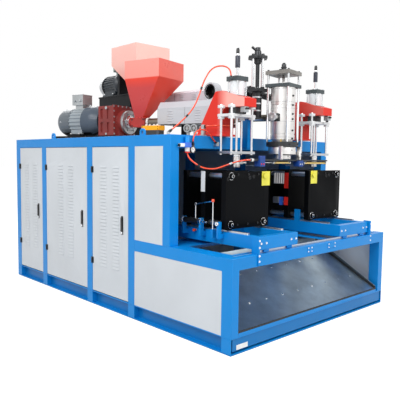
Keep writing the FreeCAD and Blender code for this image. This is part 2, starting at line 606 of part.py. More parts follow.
def left_extruder():
    z = LEFT_AXIS_Z
    skid = [box(-190, -110, 1740, 2640, HIGH_TOP, 1600), box(110, 190, 1740, 2640, HIGH_TOP, 1600),
            box(-190, 190, 2560, 2640, HIGH_TOP, 1600), box(-190, 190, 1740, 1800, HIGH_TOP, 1600)]
    stands = []
    for y in (700.0, 1030.0):
        stands.append(join(box(-100, 100, y - 60, y + 60, 1690, 1700),
                           box(-16, 16, y - 24, y + 24, HIGH_TOP, 1690),
                           box(-60, 60, y - 50, y + 50, HIGH_TOP, HIGH_TOP + 10)))
    save("skid_left", left_place(join(*skid)), *[left_place(stand) for stand in stands])

    motor(left_place, "motor_left", 156.0, 1757.0, 1600.0, (2262, 2450), 202.0, 182.0, (2312, 2470), 108.0)

    case = [box(-160, 160, 1790, 2004, 1600, 1905), box(-172, 172, 1786, 1802, 1600, 1912),
            rod(128, (0, 1735, z), Y_AXIS, 60), box(-120, 120, 1760, 1795, 1600, 1720),
            rod(60, (0, 2000, 1757), Y_AXIS, 58)]
    pockets = []
    for side in (-1, 1):
        for start in (1850.0, 1938.0):
            for low in (1632.0, 1772.0):
                x0, x1 = sorted((side * 146, side * 175))
                pockets.append(box(x0, x1, start, start + 36, low, low + 104))
    save("gearbox_left", left_place(cut(join(*case), *pockets)))

    bolts = [bar(9, (96 * math.cos(math.radians(a)), 1690, z + 96 * math.sin(math.radians(a))), Y_AXIS, 50, 6)
             for a in range(0, 360, 60)]
    disc = rod(122, (0, 1706, z), Y_AXIS, 29)
    save("thrust_flange", left_place(cut(disc, *bolts)))

    throat(left_place, "feed_throat_left", z, (1686, 1777), (1475, 1646), 1552, 38, 60)
    hopper(left_place, "hopper_left", 1394.0, 420.0, (2152, 2324), (1552.0, 106.0), 1785.0)

    barrel = turned([(0, 470), (40, 470), (40, 500), (64, 500), (64, 536), (34, 536), (34, 1475), (0, 1475)],
                    (0, 0, z), Y_AXIS)
    adapter = rod(30, (0, 107, z), Y_AXIS, 364)
    save("barrel_left", left_place(join(barrel, adapter)))
    cover(left_place, "cover_left", 130.0, (620.0, 1256.0), (1700, 1857, 1917), 85.0, 34.5, z,
          (760.0, 1075.0))

    fans = []
    for y in (806.0, 882.0):
        case = rod(37, (-178, y, 1655), X_AXIS, 52)
        inlet = rod(29, (-179, y, 1655), X_AXIS, 24)
        hub = bar(12, (-172, y, 1655), X_AXIS, 20)
        leg = box(-160, -140, y - 12, y + 12, HIGH_TOP, 1630)
        foot = box(-175, -125, y - 26, y + 26, HIGH_TOP, HIGH_TOP + 8)
        fans.append(join(cut(case, inlet), hub, leg, foot))
    save("barrel_fans", *[left_place(fan) for fan in fans])

    unit = join(box(-290, -200, 1125, 1318, HIGH_TOP, 1638), box(-295, -195, 1120, 1323, 1638, 1680))
    save("cooling_unit", left_place(unit))


def right_extruder():
    z = RIGHT_AXIS_Z
    low, high = 2060.0, 2700.0
    stand = join(box(-135, 135, low, high, HIGH_TOP, 2100),
                 box(-150, 150, low - 10, high + 10, HIGH_TOP, HIGH_TOP + 14),
                 box(-142, 142, low - 6, high + 6, 2084, 2100),
                 box(-120, 120, 2292, 2330, 2090, 2350))
    props = []
    for y in (980.0, 1690.0):
        props.append(join(box(-16, 16, y - 26, y + 26, HIGH_TOP, z - 50),
                          box(-60, 60, y - 50, y + 50, HIGH_TOP, HIGH_TOP + 10)))
    save("drive_stand_right", right_place(stand), *[right_place(prop) for prop in props])
    motor(right_place, "motor_right", 124.0, 2236.0, 2100.0, (2400, 2640), 64.0, 110.0, (2371, 2491), 74.0)

    throat_y = 1876.0
    throat(right_place, "feed_throat_right", z, (z - 56, 2027), (1794, 1958), throat_y, 42, low - 6 - 1958)
    hopper(right_place, "hopper_right", 2049.0, 470.0, (2415, 2615), (throat_y, 116.0), 2035.0)
    barrel = turned([(0, 330), (46, 330), (46, 362), (70, 362), (70, 400), (46, 400), (44, 420), (44, 1794),
                     (0, 1794)], (0, 0, z), Y_AXIS)
    drop = z - 1900
    adapter = rod(30, (0, 70, 1900), V(0, 270, drop).normalize(), math.hypot(262, drop))
    adapter = adapter.cut(rod(DIE_RADIUS + 0.3, (0, 0, 1800), Z_AXIS, 300))
    save("barrel_right", right_place(join(barrel, adapter)))
    cover(right_place, "cover_right", 100.0, (890.0, 1770.0), (z - 50, z + 60, z + 81), 80.0, 44.5, z,
          (1000.0, 1190.0))


def blower():
    """The barrel-cooling blower: a scroll with its inlet on the left and a wheel inside."""
    x0, x1, y, z = -132.0, -56.0, -500.0, 2015.0
    scroll = join(rod(86, (x0, y, z), X_AXIS, x1 - x0), box(x0, x1, y, y + 84, z - 86, z - 20))
    chamber = rod(78, (x0 + 5, y, z), X_AXIS, x1 - x0 - 10)
    inlet = rod(62, (x0 - 1, y, z), X_AXIS, 8)
    outlet = box(x0 + 8, x1 - 8, y + 10, y + 90, z - 78, z - 28)
    shaft = bar(6, (x1 - 30, y, z), X_AXIS, 30)
    motor_case = bar(34, (x1, y, z), X_AXIS, 9, 12)
    housing = join(cut(scroll, chamber, inlet, outlet), shaft, motor_case)
    save("blower_housing", housing)
    wheel = [rod(56, (x1 - 16, y, z), X_AXIS, 4), bar(14, (x1 - 34, y, z), X_AXIS, 20)]
    for k in range(12):
        blade = box(x0 + 16, x1 - 14, 42, 56, -1.2, 1.2).rotate(V(0, 49, 0), X_AXIS, 35)
        wheel.append(blade.rotate(V(0, 0, 0), X_AXIS, 30.0 * k).translate(V(0, y, z)))
    wheel = cut(join(*wheel), rod(6 + RUNNING, (x1 - 40, y, z), X_AXIS, 60))
    save("blower_wheel", wheel)


# ---- Air lines ----------------------------------------------------------------------------------
def air_unit():
    """The pressure regulator, gauge and fittings on the front of the cabinet's top beam."""
    face = CABINET_FRONT
    regulator = join(box(-945, -886, face - 46, face, 1462, 1500),
                     bar(20, SAG_HOSE[0], Z_AXIS, 118, 12),
                     box(-985, -945, face - 34, face, 1466, 1492))
    gauge = join(rod(27, (GAUGE_X, face - 36, 1446), Y_AXIS, 20),
                 box(GAUGE_X - 22, GAUGE_X + 28, face - 22, face, 1419, 1476),
                 box(GAUGE_X + 8, GAUGE_X + 26, face - 26, face - 8, 1476, 1500))
    slope = [(-598, 1498), (-582, 1514), (-566, 1514), (-566, 1480), (-598, 1480)]
    socket = prism([(x, face - 34, z) for x, z in slope], V(0, 34, 0))
    # the slanted gland of the arching hose, and the valve that the side hose leaves
    lean = (V(*ARCH_HOSE[1]) - V(*ARCH_HOSE[0])).normalize()
    gland_foot = V(*ARCH_HOSE[0]) - lean * 26
    gland = join(bar(11, tuple(gland_foot), lean, 26),
                 bar(13, (gland_foot.x, gland_foot.y, HIGH_TOP), Z_AXIS, gland_foot.z + 5 - HIGH_TOP))
    valve_x, valve_y, valve_z = SIDE_HOSE[0]
    valve = join(box(valve_x - 15, valve_x + 15, valve_y, valve_y + 30, HIGH_TOP, valve_z + 14),
                 box(valve_x - 27, valve_x + 27, valve_y - 12, valve_y + 42, HIGH_TOP, HIGH_TOP + 8))
    port_x, port_y, port_z = SIDE_HOSE[-1]
    port = box(port_x, port_x + 24, port_y - 18, -1130, port_z - 15, port_z + 15)
    save("air_unit", regulator, gauge, socket, gland, valve, port)


def hose(name, radius, points):
    """An eight-sided tube: straight runs through the points, joined by arcs as large as the runs allow."""
    points = [V(*point) for point in points]
    start, along = points[0], (points[1] - points[0]).normalize()
    section = bar(radius, tuple(start), along, 1.0).Faces
    section = min(section, key=lambda face: (face.CenterOfMass - start).Length)
    pieces, length, radii = [], 0.0, []
    for before, corner, after in zip(points, points[1:], points[2:]):
        a, b = before - corner, after - corner
        turn = math.pi - a.getAngle(b)
        reach = 0.45 * min(a.Length, b.Length)
        bend = reach / math.tan(turn / 2)
        radii.append(round(bend))
        a.normalize()
        b.normalize()
        run = corner + a * reach - start
        pieces.append(section.extrude(run))
        section = section.translated(run)
        axis = b.cross(a).normalize()
        centre = corner + (a + b).normalize() * (bend / math.cos(turn / 2))
        pieces.append(section.revolve(centre, axis, math.degrees(turn)))
        section = section.rotated(centre, axis, math.degrees(turn))
        start = corner + b * reach
        length += run.Length + bend * turn
    run = points[-1] - start
    pieces.append(section.extrude(run))
    tube = join(*pieces)
    length += run.Length
    print(name, "radii", radii, "length", round(length),
          "volume ratio", round(tube.Volume / (section.Area * length), 4))
    save(name, tube)


def hoses():
    for name, points in (("hose_arch", ARCH_HOSE), ("hose_loop", LOOP_HOSE), ("hose_side", SIDE_HOSE),
                         ("hose_sag", SAG_HOSE)):
        hose(name, HOSE_RADIUS, points)


def main():
    os.makedirs("parts", exist_ok=True)
    base_frame()
    cabinet_frame()
    deck()
    top_plate()
    panels()
    lifting_eyes()
    chute()
    shuttle_beam()
    for number, span in enumerate(DOOR_SPANS, 1):
        door(number, span)
    hinges()
    for side, name in ((-1, "left"), (1, "right")):
        station(side, name)
        tower(side, name)
    die_head()
    knives()
    ram_unit()
    left_extruder()
    right_extruder()
    blower()
    air_unit()
    hoses()


main()
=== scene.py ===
"""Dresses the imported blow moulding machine: finishes, rounded edges, fasteners, hoses and a studio.

Places and sizes are in millimetres, in the machine's own frame, unless a comment says otherwise."""
import json
import math
import bmesh
import bpy
from bpy.props import FloatProperty, FloatVectorProperty, PointerProperty
from bpy.types import NodeSocket, Operator, Panel, PropertyGroup
from mathutils import Matrix, Vector


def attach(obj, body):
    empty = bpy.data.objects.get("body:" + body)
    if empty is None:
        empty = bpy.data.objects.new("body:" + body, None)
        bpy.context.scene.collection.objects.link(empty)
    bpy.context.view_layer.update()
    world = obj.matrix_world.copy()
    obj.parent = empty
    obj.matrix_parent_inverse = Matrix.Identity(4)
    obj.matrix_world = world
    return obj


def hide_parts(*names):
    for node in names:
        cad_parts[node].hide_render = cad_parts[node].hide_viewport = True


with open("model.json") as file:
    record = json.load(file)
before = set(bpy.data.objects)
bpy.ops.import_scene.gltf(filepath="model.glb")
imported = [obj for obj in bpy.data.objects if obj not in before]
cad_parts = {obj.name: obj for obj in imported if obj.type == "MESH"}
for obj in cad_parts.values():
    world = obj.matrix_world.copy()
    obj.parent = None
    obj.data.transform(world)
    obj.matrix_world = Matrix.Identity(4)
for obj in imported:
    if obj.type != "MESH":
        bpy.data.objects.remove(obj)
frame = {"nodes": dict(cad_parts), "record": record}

bl_info = {
    "name": "Blow moulding machine",
    "version": (1, 0, 0),
    "blender": (4, 5, 0),
    "location": "View3D > Sidebar > Moulding",
    "description": "Builds the looks of a double-station blow moulding machine round its CAD frame",
    "category": "Object",
}

NODES = frame["nodes"]
RECORD = frame["record"]
BODY_OF = {node: body for body, members in RECORD["behaviour"]["bodies"].items() for node in members}
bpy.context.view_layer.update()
MM = 0.001
X, Y, Z = Vector((1, 0, 0)), Vector((0, 1, 0)), Vector((0, 0, 1))
SIDES = (("left", -1), ("right", 1))


# ---- Places, read from the CAD frame where a node shows them ------------------------------------
def span(node):
    """The low and the high corner of a CAD node, to a tenth of a millimetre."""
    axes = list(zip(*NODES[node].bound_box))
    return [Vector([round(pick(axis) / MM, 1) for axis in axes]) for pick in (min, max)]


def middle(node):
    low, high = span(node)
    return (low + high) / 2


DIE_Y = middle("die_ring").y                      # the die head's axis, on the middle plane
STATION_X = middle("clamp_frame_right").x         # from the middle plane to a mould station's axis
PIN_Y = middle("blow_pin_right").y                # the blow pins' axes
NUT_FACE = span("clamp_frame_right")[0].y         # the front of the tie bars' nuts
PLATEN_FACE = NUT_FACE + 18.0                     # the front platens' front
CARRIAGE_FACE = span("carriage_right")[0].y
BEAM_FACE = span("shuttle_beam")[0].y
TIE_X, TIE_LOW, TIE_HIGH = 195.0, 868.0, 1243.0   # tie bars, from a station's axis and from the floor
KNIFE_Y, KNIFE_Z = -1385.0, 1350.0                # the axis of the knives' cylinders
RAM = Vector((-150.0, middle("ram_unit").y, 0.0))  # the ram unit's axis, on the floor
BLOWER = middle("blower_housing")
BARREL_Z = 1740.0                                 # the left barrel's axis
SKEW = math.radians(14.5)                         # how far the left extruder stands askew
STRAIGHT = Matrix.Identity(4)
RIGHT = Matrix.Translation(Y * DIE_Y * MM)
LEFT = RIGHT @ Matrix.Rotation(SKEW, 4, "Z")


def linear(code):
    """An sRGB hex colour as linear red, green, blue and alpha."""
    parts = [int(code[k:k + 2], 16) / 255 for k in (0, 2, 4)]
    return [c / 12.92 if c <= 0.04045 else ((c + 0.055) / 1.055) ** 2.4 for c in parts] + [1.0]


def circle(count, first, radius, base, side, other):
    """Places on a circle with the way out at each. The first angle, in degrees, is counted from the side."""
    angles = [math.radians(first + 360.0 * k / count) for k in range(count)]
    ways = [side * math.cos(a) + other * math.sin(a) for a in angles]
    return [(Vector(base) + way * radius, way) for way in ways]


def four(x, y, z, half_x, half_y, way=Z):
    """The corners of a level rectangle round a place, with a direction."""
    return [((x + dx, y + dy, z), way) for dx in (-half_x, half_x) for dy in (-half_y, half_y)]


# ---- Sizes and colours that a user may change ---------------------------------------------------
def tint(name, description, code):
    return FloatVectorProperty(name=name, description=description, subtype="COLOR", size=4, min=0, max=1,
                               default=linear(code))


def length(name, description, millimetres):
    return FloatProperty(name=name, description=description, default=millimetres * MM, min=0, unit="LENGTH")


def level(name, description, value):
    return FloatProperty(name=name, description=description, default=value, min=0)


class MoulderColours(PropertyGroup):
    frame_blue: tint("Frame", "Gloss paint of the welded frame and the carriages", "0683D0")
    panel_grey: tint("Panels", "Paint of the doors and sheet panels", "C7CCD1")
    hopper_red: tint("Hoppers", "Paint of both hoppers", "E2402C")
    # A pale pink used as a painted sheen on the hopper rims and the brackets' sides, and as the far hopper's
    # painted glare.
    hopper_pale: tint("Hopper rims", "The bleached paint of the rims and bracket sides", "FBC3B8")
    bracket_red: tint("Brackets", "Paint of the blow pin brackets", "D93226")
    gearbox_red: tint("Gearbox", "Paint of the cast gearbox", "7E2622")
    platen_black: tint("Platens", "Blackened steel of the platens", "08090B")
    hose_orange: tint("Hoses", "Colour of the air hoses", "F04A1E")
    plate_yellow: tint("Plates", "Bare plates on the platens", "E8DF4E")


class MoulderSizes(PropertyGroup):
    edge: length("Edge rounding", "Radius of the rounded edges of the welded frame", 2.5)
    bolt: length("Bolt head", "Across the corners of a common hexagon head", 17.0)
    screw: length("Panel screw", "Diameter of a panel screw's head", 9.0)
    hose: length("Hose diameter", "Outside diameter of the air hoses", 12.0)


class MoulderStage(PropertyGroup):
    key: level("Key light", "Power of the large lamp on the left", 420.0)
    fill: level("Fill light", "Power of the lamp in front", 330.0)
    sky: level("Sky", "Strength of the even light from all sides", 0.66)


def colours():
    return bpy.context.scene.moulder_colours


def sizes():
    return bpy.context.scene.moulder_sizes


# ---- Finishes -----------------------------------------------------------------------------------
FINISHES = {}


def add(tree, kind, inputs=None, stops=(), **properties):
    """Adds a node with its properties and ramp stops, and its inputs, each a value or a socket to link in."""
    made = tree.nodes.new(kind)
    for key, value in properties.items():
        setattr(made, key, value)
    for number, (position, colour) in enumerate(stops):
        made.color_ramp.elements[number].position = position
        made.color_ramp.elements[number].color = colour
    for socket, source in (inputs or {}).items():
        if isinstance(source, NodeSocket):
            tree.links.new(made.inputs[socket], source)
        else:
            made.inputs[socket].default_value = source
    return made


def start(name, *grains):
    """A new finish with a noise for each grain: its size (mm, one or three), its detail and its roughness."""
    material = bpy.data.materials.new(name)
    FINISHES[name] = material
    material.use_nodes = True
    tree = material.node_tree
    tree.nodes.clear()
    place = add(tree, "ShaderNodeTexCoord").outputs["Object"]
    noises = []
    for size, detail, roughness in grains:
        scale = [1.0 / (MM * each) for each in (size if isinstance(size, tuple) else (size,) * 3)]
        moved = add(tree, "ShaderNodeMapping", {"Vector": place, "Scale": scale}).outputs["Vector"]
        noises.append(add(tree, "ShaderNodeTexNoise", {"Vector": moved, "Scale": 1.0, "Detail": detail,
                                                       "Roughness": roughness}).outputs["Fac"])
    return tree, noises


def shade(colour, factor):
    return [min(1.0, c * factor) for c in colour[:3]] + [1.0]


def coloured(tree, colour, source, low, high, dark, light):
    """The colour at two brightnesses, as the noise runs from low to high."""
    stops = [(low, shade(colour, dark)), (high, shade(colour, light))]
    return add(tree, "ShaderNodeValToRGB", {"Fac": source}, stops).outputs["Color"]


def fade(tree, base, tone, axis, low, high, side=None, most=1.0):
    """Mixes a tone in as a place runs from low to high along an axis, on the faces that look to one side:
    this lays painted sheen and painted shade on the enamels.
    """
    given = add(tree, "ShaderNodeTexCoord").outputs
    spot = add(tree, "ShaderNodeSeparateXYZ", {"Vector": given["Object"]}).outputs[axis]
    amount = add(tree, "ShaderNodeMapRange", {"Value": spot, "From Min": low * MM, "From Max": high * MM,
                                              "To Max": most}).outputs["Result"]
    if side:
        facing = add(tree, "ShaderNodeVectorMath", {0: given["Normal"], 1: side}, operation="DOT_PRODUCT")
        gate = add(tree, "ShaderNodeMapRange", {"Value": facing.outputs["Value"], "From Min": 0.5,
                                                "From Max": 0.75}).outputs["Result"]
        amount = add(tree, "ShaderNodeMath", {0: amount, 1: gate}, operation="MULTIPLY").outputs[0]
    mixed = add(tree, "ShaderNodeMix", {"Factor": amount, "A": base, "B": tone}, data_type="RGBA")
    return mixed.outputs["Result"]


def close(tree, base, wear, gloss, skin, depth, strength, **shader):
    """Ends a finish: its gloss follows the wear (noise, noise, rough, rough), and its skin is raised (mm)."""
    low, high, first, last = gloss
    stops = [(low, [first] * 3 + [1]), (high, [last] * 3 + [1])]
    rough = add(tree, "ShaderNodeValToRGB", {"Fac": wear}, stops)
    raised = add(tree, "ShaderNodeBump", {"Height": skin, "Distance": depth * MM, "Strength": strength})
    inputs = {"Base Color": base, "Roughness": rough.outputs["Color"], "Normal": raised.outputs["Normal"]}
    inputs.update((key.replace("_", " "), value) for key, value in shader.items())
    ended = add(tree, "ShaderNodeBsdfPrincipled", inputs)
    add(tree, "ShaderNodeOutputMaterial", {"Surface": ended.outputs["BSDF"]})


def paint(name, colour, rough=0.32, peel=0.12, grime=0.12, coat=0.1, shine=0.35, painted_light=()):
    """Sprayed paint: a slow drift of colour, dust in patches a hand wide and orange peel of 2.6 mm, with any
    painted light mixed in.

    The peel is drawn about twice as coarse as it is, so that it shows."""
    tree, (drift, dust, skin) = start(name, (455, 4, 0.5), (111, 8, 0.65), (2.63, 2, 0.5))
    base = coloured(tree, colour, drift, 0.3, 0.7, 0.96, 1.04)
    # Painted sheen and painted shade, mixed into the colour.
    for tone in painted_light:
        base = fade(tree, base, *tone)
    spots = add(tree, "ShaderNodeValToRGB", {"Fac": dust}, [(0.62, [0, 0, 0, 1]), (0.8, [grime] * 3 + [1])])
    dull = shade([c * 0.6 + 0.05 for c in colour[:3]], 1.0)
    mixed = add(tree, "ShaderNodeMix", {"Factor": spots.outputs["Color"], "A": base, "B": dull},
                data_type="RGBA")
    close(tree, mixed.outputs["Result"], dust, (0.35, 0.75, rough - 0.05, rough + 0.14), skin, peel, 0.5,
          Coat_Weight=coat, Coat_Roughness=0.12, Specular_IOR_Level=shine)


def metal(name, colour, rough=0.3, grain=(250, 250, 1.4), stain=0.1, relief=0.35):
    """Machined metal: tool lines of the grain's size along one way, stains a hand wide and uneven gloss.

    The lines are drawn some ten times as coarse as they are, so that they show."""
    tree, (lines, cloud) = start(name, (grain, 5, 0.7), (167, 5, 0.6))
    base = coloured(tree, colour, cloud, 0.3, 0.75, 1.0 - stain, 1.06)
    close(tree, base, lines, (0.25, 0.8, rough - 0.08, rough + 0.12), lines, 0.05, relief, Metallic=1.0)


def casting(name, colour, rough=0.55, coat=0.0):
    """A sand casting: a lumpy skin under the paint or the oil, with darker patches a hand wide.

    Its lumps of about 1 mm are drawn 5 mm wide, so that they show."""
    tree, (sand, patch) = start(name, (5.26, 4, 0.7), (143, 6, 0.6))
    base = coloured(tree, colour, patch, 0.3, 0.72, 0.72, 1.1)
    close(tree, base, patch, (0.3, 0.8, rough + 0.1, rough - 0.15), sand, 0.6, 0.6, Coat_Weight=coat,
          Coat_Roughness=0.2)


def plastic(name, colour, rough=0.42, grit=0.15, **shader):
    """Moulded plastic or rubber: an even colour with the spark-eroded grain of its mould.

    The grain of about 0.1 mm is drawn 1.1 mm wide, so that it shows."""
    tree, (grain, cloud) = start(name, (1.11, 2, 0.5), (71, 4, 0.5))
    base = coloured(tree, colour, cloud, 0.3, 0.7, 0.9, 1.05)
    close(tree, base, cloud, (0.3, 0.7, rough - 0.04, rough + 0.08), grain, grit, 0.4, **shader)


def make_finishes():
    own = {name: list(getattr(colours(), name)) for name in MoulderColours.__annotations__}
    make_paints(own)
    make_metals(own)
    make_plastics(own)


def make_paints(own):
    blue, red, pale = own["frame_blue"], own["hopper_red"], own["hopper_pale"]
    # Gloss alkyd enamel sprayed on welded steel: strong even colour with soft, broad highlights.
    enamel = {"grime": 0.06, "coat": 0.05, "shine": 0.22}
    paint("enamel_blue", blue, 0.34, **enamel)
    # The same enamel darker, low on the channels where it faces the floor: painted shade.
    paint("enamel_blue_painted_shade", shade(blue, 0.72), 0.36, **enamel)
    # Gloss enamel on folded sheet, with painted light: a painted sheen over the rim, and painted shade where
    # the slope turns under.
    paint("enamel_red_painted_light", red, 0.32, grime=0.03, painted_light=(
        (linear("A63C46"), "Z", 2150, 2060, -X, 0.6), (pale, "Z", 2146, 2156, -X, 0.5),
        (pale, "Z", 2146, 2156, -Y, 0.17)))
    # The far hopper's enamel: painted glare, pale at its mouth and turning red further down.
    paint("enamel_red_painted_glare", pale, 0.36, grime=0.03, painted_light=((red, "Z", 2400, 2050, None, 0.8),))
    # Enamel on the welded brackets, with a painted sheen on the sides that face left, growing towards the
    # front: strong on the near one, faint on the far one.
    for name, front, most in (("enamel_scarlet_painted_sheen", -1190, 0.7), ("enamel_scarlet_far_painted_sheen", -1300, 0.18)):
        paint(name, own["bracket_red"], 0.38, grime=0.05, coat=0.03, shine=0.2,
              painted_light=((pale, "Y", -1075, front, -X, most),))
    # Powder coat baked on sheet steel: a satin face without gloss streaks, in panels, covers and boxes.
    paint("powder_coat_grey", own["panel_grey"], 0.42, grime=0.04)
    paint("powder_coat_silver", linear("B8BABF"), 0.40, grime=0.05)
    # A paler copy of the silver powder coat for the far cover: painted light.
    paint("powder_coat_silver_painted_light", linear("C8C6CE"), 0.42, grime=0.05)
    paint("powder_coat_charcoal", linear("4A4C4F"), 0.45)
    paint("powder_coat_amber", linear("F2A616"), 0.40)
    # Stoving enamel on the motors' housings: greys that dust dulls between the ribs.
    paint("enamel_motor_grey", linear("959DA2"), 0.40, grime=0.15)
    paint("enamel_cowl_grey", linear("5F666C"), 0.40, grime=0.15)
    paint("enamel_bell_grey", linear("434E5B"), 0.36, grime=0.15)
    paint("enamel_motor_dark", linear("2A3138"), 0.34, grime=0.1)
    paint("enamel_cowl_pale", linear("C9CBCD"), 0.38)
    paint("enamel_box_grey", linear("8D9690"), 0.42)
    # Black enamel on stands and skids: almost no highlight.
    paint("enamel_black", linear("141619"), 0.36, grime=0.06, coat=0.0, shine=0.14)
    # Navy enamel on the knives' blocks.
    paint("enamel_navy", linear("173F86"), 0.36)
    # Clear-anodised aluminium, pale and silky like paint from a step away.
    paint("anodised_aluminium", linear("DFE2E5"), 0.30, shine=0.6)
    paint("anodised_aluminium_dull", linear("D8DADB"), 0.34, shine=0.6)
    # Black-oxide steel of the platens: matt black that shows only a faint sheen.
    paint("black_oxide_steel", own["platen_black"], 0.40, peel=0.2, grime=0.05, coat=0.0, shine=0.05)


def make_metals(own):
    # Painted cast iron: lumpy under its enamel, with oil-dark patches.
    casting("cast_iron_oxblood", own["gearbox_red"], 0.45, 0.1)
    casting("cast_iron_scarlet", linear("A82620"), 0.42, 0.1)
    # Bare or oiled cast iron, from the dark fittings to the pale top plate, and a near black that paints the
    # shade inside bores, holes and slots.
    casting("cast_iron_dark", linear("202326"), 0.5)
    casting("cast_iron_grey", linear("3C4649"), 0.42)
    casting("cast_iron_pale", linear("7E7B76"), 0.42)
    casting("painted_bore_shade", linear("060606"), 0.7)
    # Ground steel: fine lines across the bar and clean bright bands.
    metal("ground_steel", linear("C4C7CA"), 0.30, (2.5, 2.5, 167))
    # Turned steel: rings round the part.
    metal("turned_steel", linear("B4B6B8"), 0.32, (167, 167, 1.67))
    # Turned stainless steel of the head: bright, with few stains.
    metal("stainless_steel", linear("E2E0DE"), 0.33, (200, 200, 2), 0.08)
    # Brushed stainless sheet of the chute: lines down the slope, almost flat, so that reflections stay whole.
    metal("brushed_stainless", linear("C4D3D9"), 0.34, (3.33, 167, 167), 0.3, 0.06)
    # A darker copy of the same sheet for the chute's right side fold: painted shade.
    metal("brushed_stainless_painted_shade", linear("6E7A80"), 0.4, (3.33, 167, 167), 0.3)
    # Hard chrome on rods and screws: mirror-like, without a direction.
    metal("hard_chrome", linear("E6E8EA"), 0.12, (5, 5, 5), 0.03)
    # Oiled black steel: dark, stained and half glossy.
    metal("oiled_steel", linear("3E3F41"), 0.36, (200, 200, 2), 0.3)
    # Nitrided barrel steel: warm grey with lines along the barrel.
    metal("nitrided_steel", linear("8B8377"), 0.36, (2, 167, 167), 0.25)
    # Turned brass of the knives' cylinders: fine rings round them.
    metal("turned_brass", linear("D8BC78"), 0.30, (2, 167, 167), 0.15)
    # Die-cast aluminium: pale, grainy every way.
    metal("die_cast_aluminium", linear("B4B8BA"), 0.42, (11.1, 11.1, 11.1), 0.12)


def make_plastics(own):
    # Glass-filled nylon of handles, collars and fittings: a dull, even skin.
    plastic("nylon_black", linear("0D0E0F"), 0.4)
    plastic("nylon_white", linear("E8E8E4"), 0.35)
    # Extruded rubber strips: matt and coarse.
    plastic("rubber_black", linear("17181A"), 0.6, 0.4)
    # Acetal sleeves of the blow pins' stops: navy with a soft gloss.
    plastic("acetal_navy", linear("1C2233"), 0.35)
    # Polyurethane air hose: glossy, a little light passes through its skin.
    plastic("polyurethane_orange", own["hose_orange"], 0.24, 0.03, Coat_Weight=0.4, Subsurface_Weight=0.05)
    # Moulded ABS: plates, strips and port blocks, even and satin.
    plastic("abs_yellow", own["plate_yellow"], 0.45)
    plastic("abs_white", linear("ECECEA"), 0.45)
    plastic("abs_blue", linear("3B6FD8"), 0.35)
    plastic("abs_red", linear("EE2A20"), 0.35)


# ---- Mesh tools ---------------------------------------------------------------------------------
def show(name, data):
    """Links a new object with this data into the scene."""
    made = bpy.data.objects.new(name, data)
    bpy.context.scene.collection.objects.link(made)
    return made


class Shape:
    """A mesh in the making."""

    def __init__(self, turn=STRAIGHT):
        self.mesh = bmesh.new()
        self.turn = turn

    def corners(self, points):
        return [self.mesh.verts.new(self.turn @ (Vector(point) * MM)) for point in points]

    def box(self, x0, x1, y0, y1, z0, z1):
        """A box between two places on each axis, in either order."""
        xs, ys, zs = sorted((x0, x1)), sorted((y0, y1)), sorted((z0, z1))
        v = self.corners([(x, y, z) for z in zs for y in ys for x in xs])
        for ring in ((0, 2, 3, 1), (4, 5, 7, 6), (0, 1, 5, 4), (2, 6, 7, 3), (0, 4, 6, 2), (1, 3, 7, 5)):
            self.mesh.faces.new([v[k] for k in ring])
        return self

    def prism(self, outline, sweep):
        low = self.corners(outline)
        high = self.corners([Vector(point) + Vector(sweep) for point in outline])
        for k in range(len(outline)):
            self.mesh.faces.new((low[k - 1], low[k], high[k], high[k - 1]))
        self.mesh.faces.new(low[::-1])
        self.mesh.faces.new(high)
        return self

    def lathe(self, profile, base, axis=Z, steps=40):
        """A solid of revolution from (radius, height) points, whose ends may be open or on the axis."""
        axis = Vector(axis).normalized()
        side = axis.orthogonal().normalized()
        other = axis.cross(side)
        rings = []
        for radius, height in profile:
            spots = circle(steps, 0, radius, Vector(base) + axis * height, side, other)
            rings.append(self.corners([spot for spot, _ in (spots if radius else spots[:1])]))
        for low, high in zip(rings, rings[1:]):
            for k in range(steps):
                loop = [low[k % len(low)], low[(k + 1) % len(low)],
                        high[(k + 1) % len(high)], high[k % len(high)]]
                loop = list(dict.fromkeys(loop))
                if len(loop) > 2:
                    self.mesh.faces.new(loop)
        return self

    def rod(self, radius, base, axis, long, steps=24, edge=0.0):
        r, e = radius, min(edge, radius * 0.5, long * 0.5)
        profile = [(0, 0), (r - e, 0), (r, e), (r, long - e), (r - e, long), (0, long)] if e else \
            [(0, 0), (r, 0), (r, long), (0, long)]
        return self.lathe(profile, base, axis, steps)

    def ring(self, radius, bore, base, axis, long, steps=32, edge=0.6):
        r, e = radius, edge
        profile = [(bore, 0), (r - e, 0), (r, e), (r, long - e), (r - e, long), (bore, long), (bore, 0)]
        return self.lathe(profile, base, axis, steps)

    def torus(self, radius, wire, base, steps=20, turns=10):
        """An upright eye, across X."""
        loops = []
        for spot, way in circle(steps, 0, radius, base, Z, Y):
            loops.append(self.corners([place for place, _ in circle(turns, 0, wire, spot, way, X)]))
        for k in range(steps):
            for j in range(turns):
                self.mesh.faces.new((loops[k - 1][j - 1], loops[k - 1][j], loops[k][j], loops[k][j - 1]))
        return self

    def piece(self, name, finish, slot, body="frame", bevel=0.0):
        """Closes the mesh as an object at the origin that rides on a body."""
        data = bpy.data.meshes.new(name)
        bmesh.ops.remove_doubles(self.mesh, verts=self.mesh.verts, dist=1e-6)
        bmesh.ops.recalc_face_normals(self.mesh, faces=self.mesh.faces)
        self.mesh.to_mesh(data)
        self.mesh.free()
        return settle(show(name, data), [finish], body, 35, bevel)


def settle(made, finishes, body, angle, bevel=0.0):
    """Gives a mesh its finishes, smooth shading, rounded edges and body."""
    data = made.data
    if not data.materials:
        for name in finishes:
            data.materials.append(FINISHES[name])
    data.shade_smooth()
    data.set_sharp_from_angle(angle=math.radians(angle))
    if bevel:
        edges = made.modifiers.new("edges", "BEVEL")
        edges.width = bevel * MM
        edges.segments = 2
        edges.limit_method = "ANGLE"
        edges.angle_limit = math.radians(max(angle, 30))
    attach(made, body)
    return made


